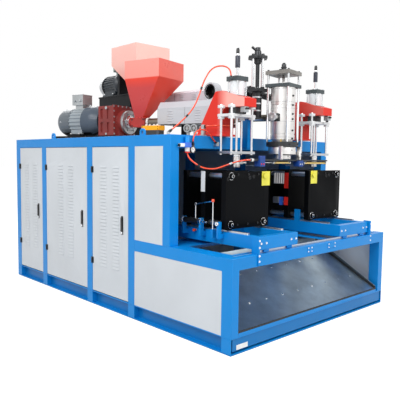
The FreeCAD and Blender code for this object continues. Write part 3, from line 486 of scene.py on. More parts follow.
def dress(node, finish, bevel=1.2, angle=35, parts=(), turn=STRAIGHT):
    """A copy of a CAD node with merged facets and rounded edges, which stands for that node.

    Each of the parts is a finish and a test.
    Faces whose middle (mm) and direction pass the test take that finish."""
    shape = bmesh.new()
    shape.from_mesh(NODES[node].data)
    bmesh.ops.remove_doubles(shape, verts=shape.verts, dist=2e-5)
    bmesh.ops.dissolve_limit(shape, angle_limit=math.radians(1.0), verts=shape.verts, edges=shape.edges)
    back = turn.inverted()
    for face in shape.faces:
        spot, way = back @ face.calc_center_median() / MM, back.to_3x3() @ face.normal
        for number, (_, test) in enumerate(parts, 1):
            if test(spot, way):
                face.material_index = number
    data = bpy.data.meshes.new(node + "_skin")
    shape.to_mesh(data)
    shape.free()
    finishes = [finish] + [name for name, _ in parts]
    made = settle(show(node + "_skin", data), finishes, BODY_OF[node], angle, bevel)
    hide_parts(node)


# ---- Fasteners, set out with Geometry Nodes -----------------------------------------------------
def bolt_tree():
    """A head on a washer at every point, aimed along the point's own direction."""
    tree = bpy.data.node_groups.new("Bolt heads", "GeometryNodeTree")
    tree.interface.new_socket("Geometry", in_out="OUTPUT", socket_type="NodeSocketGeometry")
    for name, kind in (("Geometry", "Geometry"), ("Head radius", "Float"), ("Head height", "Float"),
                       ("Washer radius", "Float"), ("Washer height", "Float"), ("Sides", "Int"),
                       ("Finish", "Material")):
        tree.interface.new_socket(name, in_out="INPUT", socket_type="NodeSocket" + kind)
    given = add(tree, "NodeGroupInput").outputs
    both = add(tree, "GeometryNodeJoinGeometry")
    half = [add(tree, "ShaderNodeMath", {0: given[part + " height"], 1: 0.5}, operation="MULTIPLY").outputs[0]
            for part in ("Head", "Washer")]
    raised = add(tree, "ShaderNodeMath", {0: half[0], 1: given["Washer height"]}, operation="ADD").outputs[0]
    for part, sides, height in (("Head", given["Sides"], raised), ("Washer", 16, half[1])):
        drum = add(tree, "GeometryNodeMeshCylinder", {"Vertices": sides, "Radius": given[part + " radius"],
                                                      "Depth": given[part + " height"]})
        lift = add(tree, "ShaderNodeCombineXYZ", {"Z": height})
        moved = add(tree, "GeometryNodeTransform", {"Geometry": drum.outputs["Mesh"],
                                                    "Translation": lift.outputs[0]})
        tree.links.new(both.inputs[0], moved.outputs[0])
    aim = add(tree, "GeometryNodeInputNamedAttribute", {"Name": "aim"}, data_type="FLOAT_VECTOR")
    turn = add(tree, "FunctionNodeAlignRotationToVector", {"Vector": aim.outputs["Attribute"]}, axis="Z")
    placed = add(tree, "GeometryNodeInstanceOnPoints", {
        "Points": given["Geometry"], "Instance": both.outputs[0], "Rotation": turn.outputs[0]})
    real = add(tree, "GeometryNodeRealizeInstances", {"Geometry": placed.outputs[0]})
    done = add(tree, "GeometryNodeSetMaterial", {"Geometry": real.outputs[0], "Material": given["Finish"]})
    add(tree, "NodeGroupOutput", {0: done.outputs[0]})
    return tree


def bolts(name, spots, finish, head, tall, washer, thin, sides=6, turn=STRAIGHT, body="frame"):
    """One piece of like fasteners at (place, direction) pairs: radius and height of head and washer."""
    data = bpy.data.meshes.new(name)
    data.from_pydata([turn @ (Vector(place) * MM) for place, _ in spots], [], [])
    aims = data.attributes.new("aim", "FLOAT_VECTOR", "POINT")
    ways = [turn.to_3x3() @ Vector(direction).normalized() for _, direction in spots]
    aims.data.foreach_set("vector", [c for way in ways for c in way])
    carrier = show(name + "_points", data)
    tree = bpy.data.node_groups.get("Bolt heads") or bolt_tree()
    changer = carrier.modifiers.new("bolts", "NODES")
    changer.node_group = tree
    values = {"Head radius": head * MM, "Head height": tall * MM, "Washer radius": washer * MM,
              "Washer height": thin * MM, "Sides": sides, "Finish": FINISHES[finish]}
    for item in tree.interface.items_tree:
        if item.in_out == "INPUT" and item.name in values:
            changer[item.identifier] = values[item.name]
    ready = carrier.evaluated_get(bpy.context.evaluated_depsgraph_get())
    mesh = bpy.data.meshes.new_from_object(ready)
    mesh.name = name
    bpy.data.objects.remove(carrier)
    settle(show(name, mesh), [finish], body, 35)


# ---- Pieces, each made by one operator ----------------------------------------------------------
class MOULDER_OT_stage(Operator):
    """Sets the camera, the lamps, the pale floor and the sky. Its places are in metres."""
    bl_idname = "moulder.stage"
    bl_label = "Studio"

    def execute(self, context):
        scene, stage = context.scene, context.scene.moulder_stage
        scene.view_settings.view_transform = "Standard"
        self.camera(scene)
        self.floor()
        self.lamp("key", (-6.2, -2.6, 6.0), stage.key)
        self.lamp("fill", (0.6, -7.4, 5.6), stage.fill)
        self.lamp("back", (1.5, 6.0, 5.5), stage.fill * 0.6)
        self.sky(scene, stage.sky)
        return {"FINISHED"}

    def camera(self, scene):
        """The photograph's camera, solved from the frame's edges: turned right, tilted down and rolled."""
        yaw, pitch, roll = math.radians(43.395), math.radians(4.572), math.radians(0.722)
        look = Vector((math.sin(yaw) * math.cos(pitch), math.cos(yaw) * math.cos(pitch), -math.sin(pitch)))
        flat = Vector((math.cos(yaw), -math.sin(yaw), 0))
        up = flat.cross(look)
        right = flat * math.cos(roll) + up * math.sin(roll)
        top = -flat * math.sin(roll) + up * math.cos(roll)
        camera = show("camera", bpy.data.cameras.new("camera"))
        camera.data.lens = 47.1
        camera.data.sensor_width = 36.0
        camera.data.clip_end = 200
        turn = Matrix((right, top, -look)).transposed().to_4x4()
        camera.matrix_world = Matrix.Translation((-3.6682, -4.1228, 1.3790)) @ turn
        scene.camera = camera

    def floor(self):
        data = bpy.data.meshes.new("floor")
        data.from_pydata([(-60, -60, 0), (60, -60, 0), (60, 60, 0), (-60, 60, 0)], [], [(0, 1, 2, 3)])
        tree, _ = start("floor")
        matte = add(tree, "ShaderNodeBsdfDiffuse", {"Color": [0.5, 0.5, 0.5, 1]})
        lift = add(tree, "ShaderNodeMath", {0: self.seen(tree), 1: 0.72}, operation="MULTIPLY")
        white = add(tree, "ShaderNodeEmission", {"Strength": lift.outputs[0], "Color": [1, 1, 1, 1]})
        both = add(tree, "ShaderNodeAddShader", {0: matte.outputs[0], 1: white.outputs[0]})
        add(tree, "ShaderNodeOutputMaterial", {"Surface": both.outputs[0]})
        data.materials.append(FINISHES["floor"])
        floor = show("floor", data)

    def seen(self, tree):
        """One where the backdrop is seen straight, in a reflection or through glass, and nought elsewhere."""
        rays = add(tree, "ShaderNodeLightPath").outputs
        shown = rays["Is Camera Ray"]
        for kind in ("Is Glossy Ray", "Is Transmission Ray"):
            shown = add(tree, "ShaderNodeMath", {0: shown, 1: rays[kind]}, operation="MAXIMUM").outputs[0]
        return shown

    def lamp(self, name, place, power):
        light = bpy.data.lights.new(name, "AREA")
        light.energy, light.size = power, 4.5
        made = show(name, light)
        made.location = place
        made.rotation_euler = (Vector((0, -0.2, 1.0)) - Vector(place)).to_track_quat("-Z", "Y").to_euler()

    def sky(self, scene, strength):
        world = bpy.data.worlds.new("studio")
        scene.world = world
        world.use_nodes = True
        tree = world.node_tree
        tree.nodes.clear()
        even, bright = [add(tree, "ShaderNodeBackground", {"Color": [1, 1, 1, 1], "Strength": each})
                        for each in (strength, 1.0)]
        shown = self.seen(tree)
        mixed = add(tree, "ShaderNodeMixShader", {0: shown, 1: even.outputs[0], 2: bright.outputs[0]})
        add(tree, "ShaderNodeOutputWorld", {"Surface": mixed.outputs[0]})


class MOULDER_OT_hoses(Operator):
    """Lays the four orange air hoses with their push-in collars and couplings."""
    bl_idname = "moulder.hoses"
    bl_label = "Air hoses"

    # the points that each hose runs past, its real length in metres, and the runs that carry a coupling
    routes = {
        "hose_arch": ([(-1030, -994, 1592), (-960, -1033, 1658), (-880, -1079, 1755), (-838, -1103, 1862),
                       (-805, -1122, 1985), (-752, -1152, 2085), (-672, -1197, 2110), (-613, -1231, 2080),
                       (-613, -1231, 2022)], 0.814, ((1, "nylon_black"), (3, "nylon_black"))),
        "hose_loop": ([(-845, -1047, 1500), (-845, -1047, 1545), (-795, -1048, 1608), (-700, -1049, 1606),
                       (-632, -1047, 1548), (-590, -1047, 1506)], 0.359, ()),
        "hose_side": ([(-686, -1015, 1638), (-686, -1085, 1638), (-650, -1165, 1645), (-500, -1165, 1645)],
                      0.298, ()),
        "hose_sag": ([(-910, -1053, 1430), (-910, -1053, 1392), (-868, -1090, 1340), (-812, -1139, 1298),
                      (-742, -1201, 1294), (-680, -1255, 1325), (-625, -1310, 1354), (-592, -1385, 1370),
                      (-530, -1385, 1370)], 0.598, ((2, "nylon_black"), (5, "nylon_white"))),
    }

    def execute(self, context):
        thick = sizes().hose
        for name, (points, real, couplings) in self.routes.items():
            points = [Vector(point) for point in points]
            tube = show(name + "_tube", self.curve(name + "_tube", points, thick))
            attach(tube, "frame")
            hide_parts(name)
            fittings = [self.collar(name, points)]
            for run, finish in couplings:
                fittings.append(self.coupling("%s_coupling_%d" % (name, run), *points[run:run + 2], finish))
        return {"FINISHED"}

    def curve(self, name, points, thick):
        """A smooth round tube near these points."""
        curve = bpy.data.curves.new(name, "CURVE")
        curve.dimensions = "3D"
        line = curve.splines.new("NURBS")
        line.points.add(len(points) - 1)
        for spot, point in zip(line.points, points):
            spot.co = (*(point * MM), 1)
        line.order_u = 3
        line.use_endpoint_u = True
        line.resolution_u = 10
        curve.bevel_depth = thick / 2
        curve.bevel_resolution = 4
        curve.use_fill_caps = True
        curve.materials.append(FINISHES["polyurethane_orange"])
        return curve

    def collar(self, name, points):
        """The release rings at both ends."""
        shape = Shape()
        for end, inner in ((points[0], points[1]), (points[-1], points[-2])):
            profile = [(6.1, 0), (9.5, 0), (9.5, 2.5), (7.6, 3.5), (7.6, 8), (9, 8.6), (9, 10.5), (6.1, 11)]
            shape.lathe(profile, end, inner - end, 20)
        return shape.piece(name + "_collars", "nylon_black", "black_plastic")

    def coupling(self, name, low, high, finish):
        """A straight coupling in the middle of one run."""
        way = (high - low).normalized()
        profile = [(6.1, 0), (8.6, 0.6), (8.6, 9), (7.4, 10), (7.4, 14), (8.6, 15), (8.6, 23.4), (6.1, 24)]
        shape = Shape().lathe(profile, (low + high) / 2 - way * 12, way, 20)
        return shape.piece(name, finish, "black_plastic")


class MOULDER_OT_frame(Operator):
    """Dresses the welded frame, the sheet panels, the deck and the chute."""
    bl_idname = "moulder.frame"
    bl_label = "Frame and panels"

    def execute(self, context):
        edge = sizes().edge / MM
        for node in ("cabinet_frame", "shuttle_beam"):
            dress(node, "enamel_blue", edge)
        # The channels low on the base take the darker enamel: painted shade.
        dress("base_frame", "enamel_blue", edge, parts=(
            ("enamel_blue_painted_shade", lambda p, n: p.z < 124.5 and abs(n.z) < 0.9),))
        for node in ("left_panels", "right_panels", "rear_panel", "top_plate"):
            dress(node, "powder_coat_grey", 0.8)
        dress("deck", "enamel_blue", 0.8)
        dress("lifting_eyes", "enamel_blue", 2.0, 50)
        dress("chute", "brushed_stainless", 0.8, parts=(
            ("rubber_black", lambda p, n: p.y < -1693.5),
            # The right side fold takes the darker steel: painted shade.
            ("brushed_stainless_painted_shade", lambda p, n: p.x > 940 and abs(n.x) > 0.9)))
        dress("linear_rails", "ground_steel", 0.8)
        self.sill()
        self.chute_edges()
        self.beam_plates()
        self.rail_screws()
        return {"FINISHED"}

    def sill(self):
        """The plates in the channels, the white strip and the cover of the chute's lip."""
        feet = Shape()
        for side in (-1, 1):
            feet.box(side * 1064.6, side * 1060, -1699.5, -1606, 9, 116)
            feet.box(side * 1060, side * 1015.6, -1612, -1606, 9, 116)
            for y in (-570, 90, 990, 1609.6):
                feet.box(side * 1064.6, side * 1015.6, y, y + 90, 9, 116)
        feet.piece("post_feet", "enamel_blue", "blue_paint", bevel=1.0)
        for name, finish, bevel, corners in (
                # The front sill takes the darker enamel: painted shade of the channel.
                ("front_sill", "enamel_blue_painted_shade", 1.0, (-1042, 1042, -1693, -1688, 26, 116)),
                ("blank_strip", "abs_white", 0.3, (-1000, -880, -1694, -1693, 31, 66)),
                ("lip_cover", "enamel_blue", 0.5, (-988, 956, -1699.9, -1698.1, 125.2, 149))):
            Shape().box(*corners).piece(name, finish, "blue_paint", bevel=bevel)

    def chute_edges(self):
        """The black strips in the folds of the chute and the screws across its floor."""
        shape = Shape()
        for x, way in ((-984, 3), (952, -3)):
            shape.prism([(x, -1693.9, 151), (x, -1000, 509), (x, -1000, 534), (x, -1693.9, 176)], (way, 0, 0))
        shape.piece("chute_strips", "rubber_black", "black_plastic")
        run, rise = 694, 358  # the chute's floor, from its front foot to the back
        spots = [((x, -1694 + run * t, 150 + rise * t), (0, -rise, run)) for t in (0.3, 0.72)
                 for x in range(-840, 841, 210)]
        bolts("chute_screws", spots, "hard_chrome", 6, 3, 9, 1, 12)

    def beam_plates(self):
        """Two cover plates with screws on the face of the front beam."""
        plates, screws = Shape(), []
        for x0, x1, z0, z1 in ((-202, -138, 636, 683), (88, 198, 640, 686)):
            plates.box(x0, x1, BEAM_FACE - 4, BEAM_FACE, z0, z1)
            screws += [((x, BEAM_FACE - 4, z), -Y) for x in (x0 + 9, x1 - 9) for z in (z0 + 9, z1 - 9)]
        plates.piece("beam_plates", "enamel_blue", "blue_paint", bevel=0.8)
        bolts("beam_screws", screws, "hard_chrome", 5, 3.5, 6.5, 0.8)

    def rail_screws(self):
        """The counterbored screws that hold the linear rails down, and the stops' screws."""
        spots = [((x, y, 709), Z) for y in (-1660, -800) for x in range(-740, 741, 74)]
        bolts("rail_screws", spots, "oiled_steel", 5, 0.9, 6, 0.2, 12)
        ends = [((side * 792, BEAM_FACE, z), -Y) for side in (-1, 1) for z in (640, 680, 740, 790)]
        bolts("stop_screws", ends, "hard_chrome", sizes().bolt / MM / 2 - 2.5, 4.5, 8.5, 1.2)


class MOULDER_OT_doors(Operator):
    """Dresses the three louvred doors with their locks and hinges."""
    bl_idname = "moulder.doors"
    bl_label = "Doors"

    def execute(self, context):
        face = -1063.0        # x of the doors' outer side
        for number, (low, high) in enumerate(((1080, 1610), (180, 990), (-480, 90)), 1):
            lock = low + 89
            dress("door_%d" % number, "powder_coat_grey", 0.5, parts=(
                ("nylon_black", lambda p, n: p.x < face - 0.8 and abs(p.y - lock) < 16 and 700 < p.z < 880),
                ("nylon_black", lambda p, n: p.x < face - 0.8 and p.y > high - 26),
                ("hard_chrome", lambda p, n: p.x < face - 4.4 and abs(p.y - lock) < 10 and p.z < 735)))
            dress("lock_lever_%d" % number, "nylon_black", 1.5)
            self.lock_face(number, face, lock)
        dress("hinges", "nylon_black", 0.6, 50)
        leaves = [((-1068, high + 11, z), -X) for high in (1610, 990, 90) for z0 in (390, 1235)
                  for z in (z0 + 12, z0 + 45)]
        bolts("hinge_screws", leaves, "hard_chrome", 3.2, 1.2, 3.6, 0.3, 12)
        return {"FINISHED"}

    def lock_face(self, number, face, lock):
        """The key slot and the grip ribs of the lever."""
        shape = Shape().rod(6.2, (face - 9.2, lock, 724), X, 1.2, 24, 0.3)
        shape.box(face - 9.5, face - 9.2, lock - 0.8, lock + 0.8, 720, 728)
        shape.piece("lock_key_%d" % number, "hard_chrome", "black_plastic", BODY_OF["door_%d" % number])
        ribs = Shape()
        for z in range(826, 850, 4):
            ribs.box(face - 13.3, face - 12.3, lock - 8, lock + 8, z, z + 1.6)
        ribs.piece("lock_ribs_%d" % number, "rubber_black", "black_plastic",
                   BODY_OF["lock_lever_%d" % number], 0.3)


class MOULDER_OT_stations(Operator):
    """Dresses the two mould carriages with their platens, tie bars and bare plates."""
    bl_idname = "moulder.stations"
    bl_label = "Mould stations"

    def execute(self, context):
        def off(p):
            return abs(p.x) - STATION_X

        def on_tie(p):
            return any(math.hypot(abs(off(p)) - TIE_X, p.z - z) < 23 for z in (TIE_LOW, TIE_HIGH))

        for (side, sign), plate in zip(SIDES, ((-375, -273), (310, 408))):
            dress("carriage_" + side, "enamel_blue", 2.0, parts=(
                ("ground_steel", lambda p, n: 811 < p.z < 827 and abs(abs(off(p)) - 204) < 13),))
            dress("clamp_frame_" + side, "black_oxide_steel", 1.5, parts=(
                ("ground_steel", lambda p, n: on_tie(p) and abs(n.y) < 0.3 and -1321 < p.y < -905),
                ("abs_yellow",
                 lambda p, n: p.y < PLATEN_FACE - 0.5 and abs(off(p) + TIE_X) < 30 and p.z > 1200)))
            dress("moving_platen_" + side, "black_oxide_steel", 1.5, parts=(
                ("hard_chrome", lambda p, n: -1093 < p.y and math.hypot(off(p), p.z - 1055.5) < 26),))
            body = BODY_OF["clamp_frame_" + side]
            shape = Shape().box(*plate, PLATEN_FACE - 1.5, PLATEN_FACE, 1162, 1279)
            shape.piece("plate_" + side, "abs_yellow", "black_paint", body, 0.4)
            self.fasteners(side, sign, body)
            self.damper(side, sign)
            self.manifold(side, sign, BODY_OF["moving_platen_" + side])
        return {"FINISHED"}

    def manifold(self, side, sign, body):
        """The red strips, the water manifold and the valve of a moving platen, and its pale outer strip."""
        strips = Shape()
        for low, high in ((1108, 1253), (950, 1026)):
            strips.box(sign * 279.5, sign * 284.4, -1140, -1096, low, high)
        strips.piece("red_strips_" + side, "abs_red", "black_paint", body, 0.6)
        pipes = Shape().box(sign * 296, sign * 308, -1094, -958, 1156, 1240)
        for k in range(5):
            pipes.rod(13, (sign * 301, -1071 + 26 * k, 1148), Z, 101, 24, 2.0)
        pipes.piece("manifold_pipes_" + side, "stainless_steel", "steel", body, 0.6)
        valve = Shape().box(sign * 290, sign * 315, -1071, -1031, 946, 1022)
        valve.piece("valve_blue_" + side, "abs_blue", "blue_paint", body, 2.0)
        block = Shape().box(sign * 292, sign * 313, -1026, -956, 962, 1022)
        block.box(sign * 299, sign * 309, -1094, -1020, 972, 986)
        block.piece("valve_block_low_" + side, "die_cast_aluminium", "steel", body, 2.0)
        strip = Shape().box(sign * 798.5, sign * 793.6, -1140, -1096, 1114, 1278)
        strip.piece("platen_strip_" + side, "anodised_aluminium_dull", "black_paint", body, 0.6)

    def damper(self, side, sign):
        """The damper, its link and the two fittings on the outer side of a carriage."""
        body = BODY_OF["carriage_" + side]
        x, wall = sign * 824, sign * 773.3  # the damper's axis and the carriage's outer side
        blue = Shape()
        for y0, y1, top in ((-932, -910, 905), (-1137, -1115, 905), (-1334, -1314, 892), (-1274, -1250, 830)):
            blue.box(sign * 836, wall, y0, y1, 762, 800)
            blue.box(sign * 836, sign * 799, y0, y1, 799, top)
        blue.piece("damper_brackets_" + side, "enamel_blue", "blue_paint", body, 1.5)
        tube = Shape().rod(23, (x, -940, 878), -Y, 168, 32, 1.0)
        tube.piece("damper_tube_" + side, "nylon_black", "black_plastic", body)
        steel_parts = Shape().ring(26, 22.8, (x, -908, 878), -Y, 26, 32, 1.0)
        steel_parts.ring(26, 22.8, (x, -1113, 878), -Y, 26, 32, 1.0).rod(8, (x, -1139, 878), -Y, 52, 20, 1.0)
        steel_parts.ring(15, 6, (sign * 836, -1324, 878), (sign, 0, 0), 12, 28, 1.0)
        steel_parts.rod(5, (x, -1262, 829), Z, 215, 16)
        arm = Vector((0, 192, -34))
        steel_parts.rod(6, (x, -1258, 1048), arm, arm.length, 16).rod(5, (x, -1066, 900), Z, 118, 16)
        steel_parts.ring(12, 5.5, (sign * 818, -1066, 1014), (sign, 0, 0), 12, 24, 0.8)
        steel_parts.piece("damper_rods_" + side, "hard_chrome", "steel", body)
        heads = Shape().lathe([(0, 0), (10, 0), (12, 4), (12, 16), (8, 22), (0, 22)], (x, -1262, 1042), Z, 24)
        heads.lathe([(0, 0), (9, 0), (9, 10), (12, 12), (12, 26), (9, 30), (0, 30)],
                    (wall, -1015, 795), (sign, 0, 0), 24)
        heads.piece("damper_caps_" + side, "polyurethane_orange", "hose_orange", body)

    def fasteners(self, side, sign, body):
        """Cap screws and lifting threads on the front platen, and screws on the carriage."""
        axis = sign * STATION_X
        screws = [((axis + dx, PLATEN_FACE, z), -Y) for dx in (-120, 0, 120) for z in (862, 1256)]
        bolts("platen_screws_" + side, screws, "oiled_steel", 8, 5, 10, 0.8, 12, body=body)
        rings = Shape()
        for dx, z in ((18, 1230), (64, 1238), (sign * 232, 1222)):
            rings.ring(15, 11, (axis + dx, PLATEN_FACE, z), -Y, 2.2, 28)
            rings.ring(8, 4, (axis + dx, PLATEN_FACE, z), -Y, 1.6, 24)
        rings.piece("platen_threads_" + side, "oiled_steel", "black_paint", body)
        seats = Shape()
        for dx, z in ((-TIE_X, TIE_LOW), (TIE_X, TIE_LOW), (sign * TIE_X, TIE_HIGH)):
            seats.ring(30, 27, (axis + dx, PLATEN_FACE, z), -Y, 1.8, 36)
            seats.ring(14, 11, (axis + dx, NUT_FACE, z), -Y, 1.6, 28)
        seats.piece("tie_bar_rings_" + side, "hard_chrome", "black_paint", body)
        spots = [((axis + dx, CARRIAGE_FACE, 763), -Y) for dx in (-210, -150, 150, 210)]
        bolts("carriage_screws_" + side, spots, "hard_chrome", 7, 4.5, 9, 1,
              body=BODY_OF["carriage_" + side])


class MOULDER_OT_towers(Operator):
    """Dresses the brackets, the air cylinders and the blow pins."""
    bl_idname = "moulder.towers"
    bl_label = "Blow pin towers"

    def execute(self, context):
        def out(p):
            return math.hypot(abs(p.x) - STATION_X, p.y - PIN_Y)

        for (side, sign), finish in zip(SIDES, ("enamel_scarlet_painted_sheen", "enamel_scarlet_far_painted_sheen")):
            # Both brackets' enamels carry a painted sheen.
            dress("bracket_" + side, finish, 2.0)
            dress("blow_cylinder_" + side, "cast_iron_grey", 1.2, 50, (
                ("anodised_aluminium", lambda p, n: 1881 < p.z < 1993 and out(p) < 61 and abs(n.z) < 0.5),
                ("hard_chrome", lambda p, n: 1881 < p.z < 1993 and out(p) > 62 and abs(n.z) < 0.5),
                ("ground_steel", lambda p, n: p.z > 2030.5),
                ("anodised_aluminium_dull", lambda p, n: p.z < 1735)))
            dress("blow_pin_" + side, "hard_chrome", 0.8, 50, (
                ("acetal_navy", lambda p, n: 2103 < p.z < 2195 and (out(p) > 15 or abs(n.z) > 0.5)),
                ("anodised_aluminium_dull", lambda p, n: 1777 < p.z < 1801),
                ("ground_steel", lambda p, n: 1416 < p.z < 1438),
                ("stainless_steel", lambda p, n: p.z < 1416)))
            self.details(side, sign * STATION_X, PIN_Y, BODY_OF["blow_pin_" + side])
        return {"FINISHED"}

    def details(self, side, x, y, pin):
        """Nuts and screws, the rings and the tip of the pin, and the valve on the bracket."""
        bolts("cap_nuts_" + side, four(x, y, 2030, 50, 50), "ground_steel",
              sizes().bolt / MM / 2, 7, 10.5, 1.5)
        ring = Shape().ring(15, 10.1, (x, y, 2197), Z, 12, 32, 1.0)
        ring.piece("pin_ring_" + side, "hard_chrome", "chrome", pin)
        profile = [(10.1, 0), (14, 1), (14, 30), (11, 36), (11, 43), (10.1, 44)]
        Shape().lathe(profile, (x, y, 2214), Z, 28).piece("pin_tip_" + side, "nylon_black", "chrome", pin)
        bolts("disc_screws_" + side, four(x, y, 1800, 120, 57), "hard_chrome", 8, 5, 12, 1.2, 12,
              body=pin)
        bolts("plate_nuts_" + side, four(x, y, 1417, 120, 57, -Z), "hard_chrome", 9, 6, 12, 1.5,
              body=pin)
        turned = Shape().lathe([(32.2, 0), (34, 2), (34, 12), (32.2, 14)], (x, y, 1396), Z, 40)
        turned.piece("mandrel_ring_" + side, "hard_chrome", "chrome", pin)
        near = x - 60 if x < 0 else x + 15  # the valve's left side
        block = Shape().box(near, near + 45, -1372, -1324, 1742, 1786)
        block.piece("valve_block_" + side, "die_cast_aluminium", "dark_grey", bevel=1.5)
        knobs = Shape()
        for k in (11, 33):
            knobs.rod(8, (near + k, -1372, 1770), -Y, 12, 24, 1.0)
            knobs.rod(6, (near + k, -1348, 1742), -Z, 14, 20, 1.0)
        knobs.piece("valve_knobs_" + side, "nylon_black", "dark_grey")


class MOULDER_OT_die_head(Operator):
    """Dresses the die head, its frame and ring, the knives and the ram unit."""
    bl_idname = "moulder.die_head"
    bl_label = "Die head"

    def execute(self, context):
        def out(p):
            return math.hypot(p.x, p.y - DIE_Y)

        dress("die_head", "stainless_steel", 1.0, 50, (
            ("cast_iron_dark", lambda p, n: p.x < -84 and 1699 < p.z < 1769 and 108 < out(p) < 150),))
        dress("die_frame", "cast_iron_grey", 1.2, 50, (
            ("cast_iron_pale", lambda p, n: p.z > 2097),
            ("hard_chrome", lambda p, n: abs(n.z) < 0.5 and (p.z < 1991 or 2021 < p.z < 2097)),
            ("oiled_steel", lambda p, n: p.z > 2131)))
        dress("die_ring", "stainless_steel", 1.0, 35, (
            ("cast_iron_dark", lambda p, n: p.z > 1486.5),
            ("oiled_steel", lambda p, n: 1412.5 < p.z < 1421.5 and out(p) < 76)))
        self.head_details()
        self.knives()
        self.ram()
        return {"FINISHED"}

    def head_details(self):
        """Screws, nuts, holes painted as dark discs of shade, and bands of the die head, its port and the
        actuator's cap.
        """
        screws = [((0, DIE_Y - 106, z), -Y) for z in (1556, 1625, 1722, 1765, 1840, 1919)]
        bolts("clamp_screws", screws, "oiled_steel", 6.5, 7, 9, 1.5, 12)
        spots = circle(8, 20, 137, (0, DIE_Y, 1507), X, Y)
        bolts("flange_screws", spots, "oiled_steel", 6, 4, 8, 0.8)
        for name, z, way in (("frame_nuts", 2130, Z), ("frame_lower_nuts", 1992, -Z)):
            nuts = [(spot, way) for spot, _ in circle(4, 55, 135.8, (0, DIE_Y, z), X, Y)]
            bolts(name, nuts, "oiled_steel", 9, 8, 13, 2)
        # The holes are dark discs on the ring: painted shade.
        holes = Shape()
        for angle, z, radius, size in ((218, 1460, 117, 9), (263, 1456, 117, 5), (308, 1456, 117, 5),
                                       (261, 1402, 76, 5), (215, 1402, 76, 5)):
            for spot, way in circle(1, angle, radius, (0, DIE_Y, z), X, Y):
                holes.rod(size, spot, way, 3.4, 20)
        holes.piece("ring_holes", "painted_bore_shade", "stainless")
        bands = Shape()
        for z in (1566, 1700, 1812, 1866, 1976):
            bands.ring(107.2, 105.5, (0, DIE_Y, z), Z, 3.2, 64, 0.8)
        bands.piece("head_seams", "turned_steel", "stainless")
        profile = [(0, 0), (9, 0), (9, 12), (6, 14), (6, 22), (0, 22)]
        Shape().lathe(profile, (-98, DIE_Y - 62, 1527), Z, 20).piece("brass_nipple", "turned_brass", "brass")
        turn = RIGHT @ Matrix.Rotation(math.radians(14), 4, "Z")
        port = Shape(turn).ring(37, 20, (-218, 0, 1734), X, 9, 40, 1.0)
        port.ring(31, 14, (-221, 0, 1734), X, 4, 40, 1.0).piece("port_clamp", "ground_steel", "stainless")
        tip = Shape().ring(25, 20.2, (0, DIE_Y, 2160), Z, 12, 36, 1.5)
        tip.lathe([(0, 0), (13, 0), (13, 9), (9, 12), (0, 12)], (0, DIE_Y, 2194), Z, 28)
        tip.piece("actuator_cap", "cast_iron_dark", "cast_grey")

    def knives(self):
        """The knives on their cylinders, with screws and end caps."""
        y, z = KNIFE_Y, KNIFE_Z
        dress("knife_cylinders", "cast_iron_dark", 0.8, 50, (
            ("turned_brass", lambda p, n: math.hypot(p.y - y, p.z - z) < 13 and abs(n.x) < 0.5),
            ("hard_chrome", lambda p, n: math.hypot(p.y - y, p.z - z) < 10 and abs(n.x) > 0.5),
            ("nylon_white", lambda p, n: p.x < -508),
            ("stainless_steel", lambda p, n: p.z > 1377 and abs(p.x) < 140)))
        for side, x, screw in (("left", -437, "abs_red"), ("right", 79, "hard_chrome")):
            dress("knife_" + side, "enamel_navy", 1.0, 50, (
                ("hard_chrome", lambda p, n: p.y > y + 18.5 or math.hypot(p.y - y, p.z - z) < 5.6),))
            body = BODY_OF["knife_" + side]
            spots = [((x + dx, y - 42, 1338), -Y) for dx in (-14, 14)]
            bolts("knife_screws_" + side, spots, screw, 4.5, 3, 6, 0.6, 12, body=body)
        caps = Shape()
        for x in (-262, -40, 167, 500):
            caps.ring(14.5, 6, (x, y, z), X, 8, 28, 0.8)
        caps.piece("cylinder_caps", "ground_steel", "brass")

    def ram(self):
        """The hydraulic unit beside the head, with its lugs, nuts and bands."""
        dress("ram_unit", "cast_iron_dark", 1.0, 50, (
            ("enamel_blue", lambda p, n: p.z < 1716),
            ("oiled_steel", lambda p, n: 1737 < p.z < 1957),
            ("hard_chrome", lambda p, n: 1983 < p.z < 2235 and math.hypot(p.x - RAM.x, p.y - RAM.y) > 40),
            ("oiled_steel", lambda p, n: p.z > 2277)))
        plugs = Shape()
        for spot, _ in circle(4, 0, 58, RAM, X, Y):
            plugs.lathe([(0, 0), (21, 0), (21, 18), (17, 22), (0, 22)], spot + Z * 2238, Z, 28)
            plugs.lathe([(0, 0), (18, 0), (18, 14), (0, 14)], spot + Z * 1982, Z, 28)
        plugs.piece("ram_lugs", "oiled_steel", "dark_grey", bevel=0.6)
        bolts("ram_nuts", four(RAM.x, RAM.y, 1982, 62, 62), "hard_chrome", 8.5, 7, 11, 1.5)
        bands = Shape()
        for z in (1790, 1850, 1905):
            bands.ring(43, 41, RAM + Z * z, Z, 12, 40, 0.6)
        bands.piece("ram_bands", "ground_steel", "dark_grey")


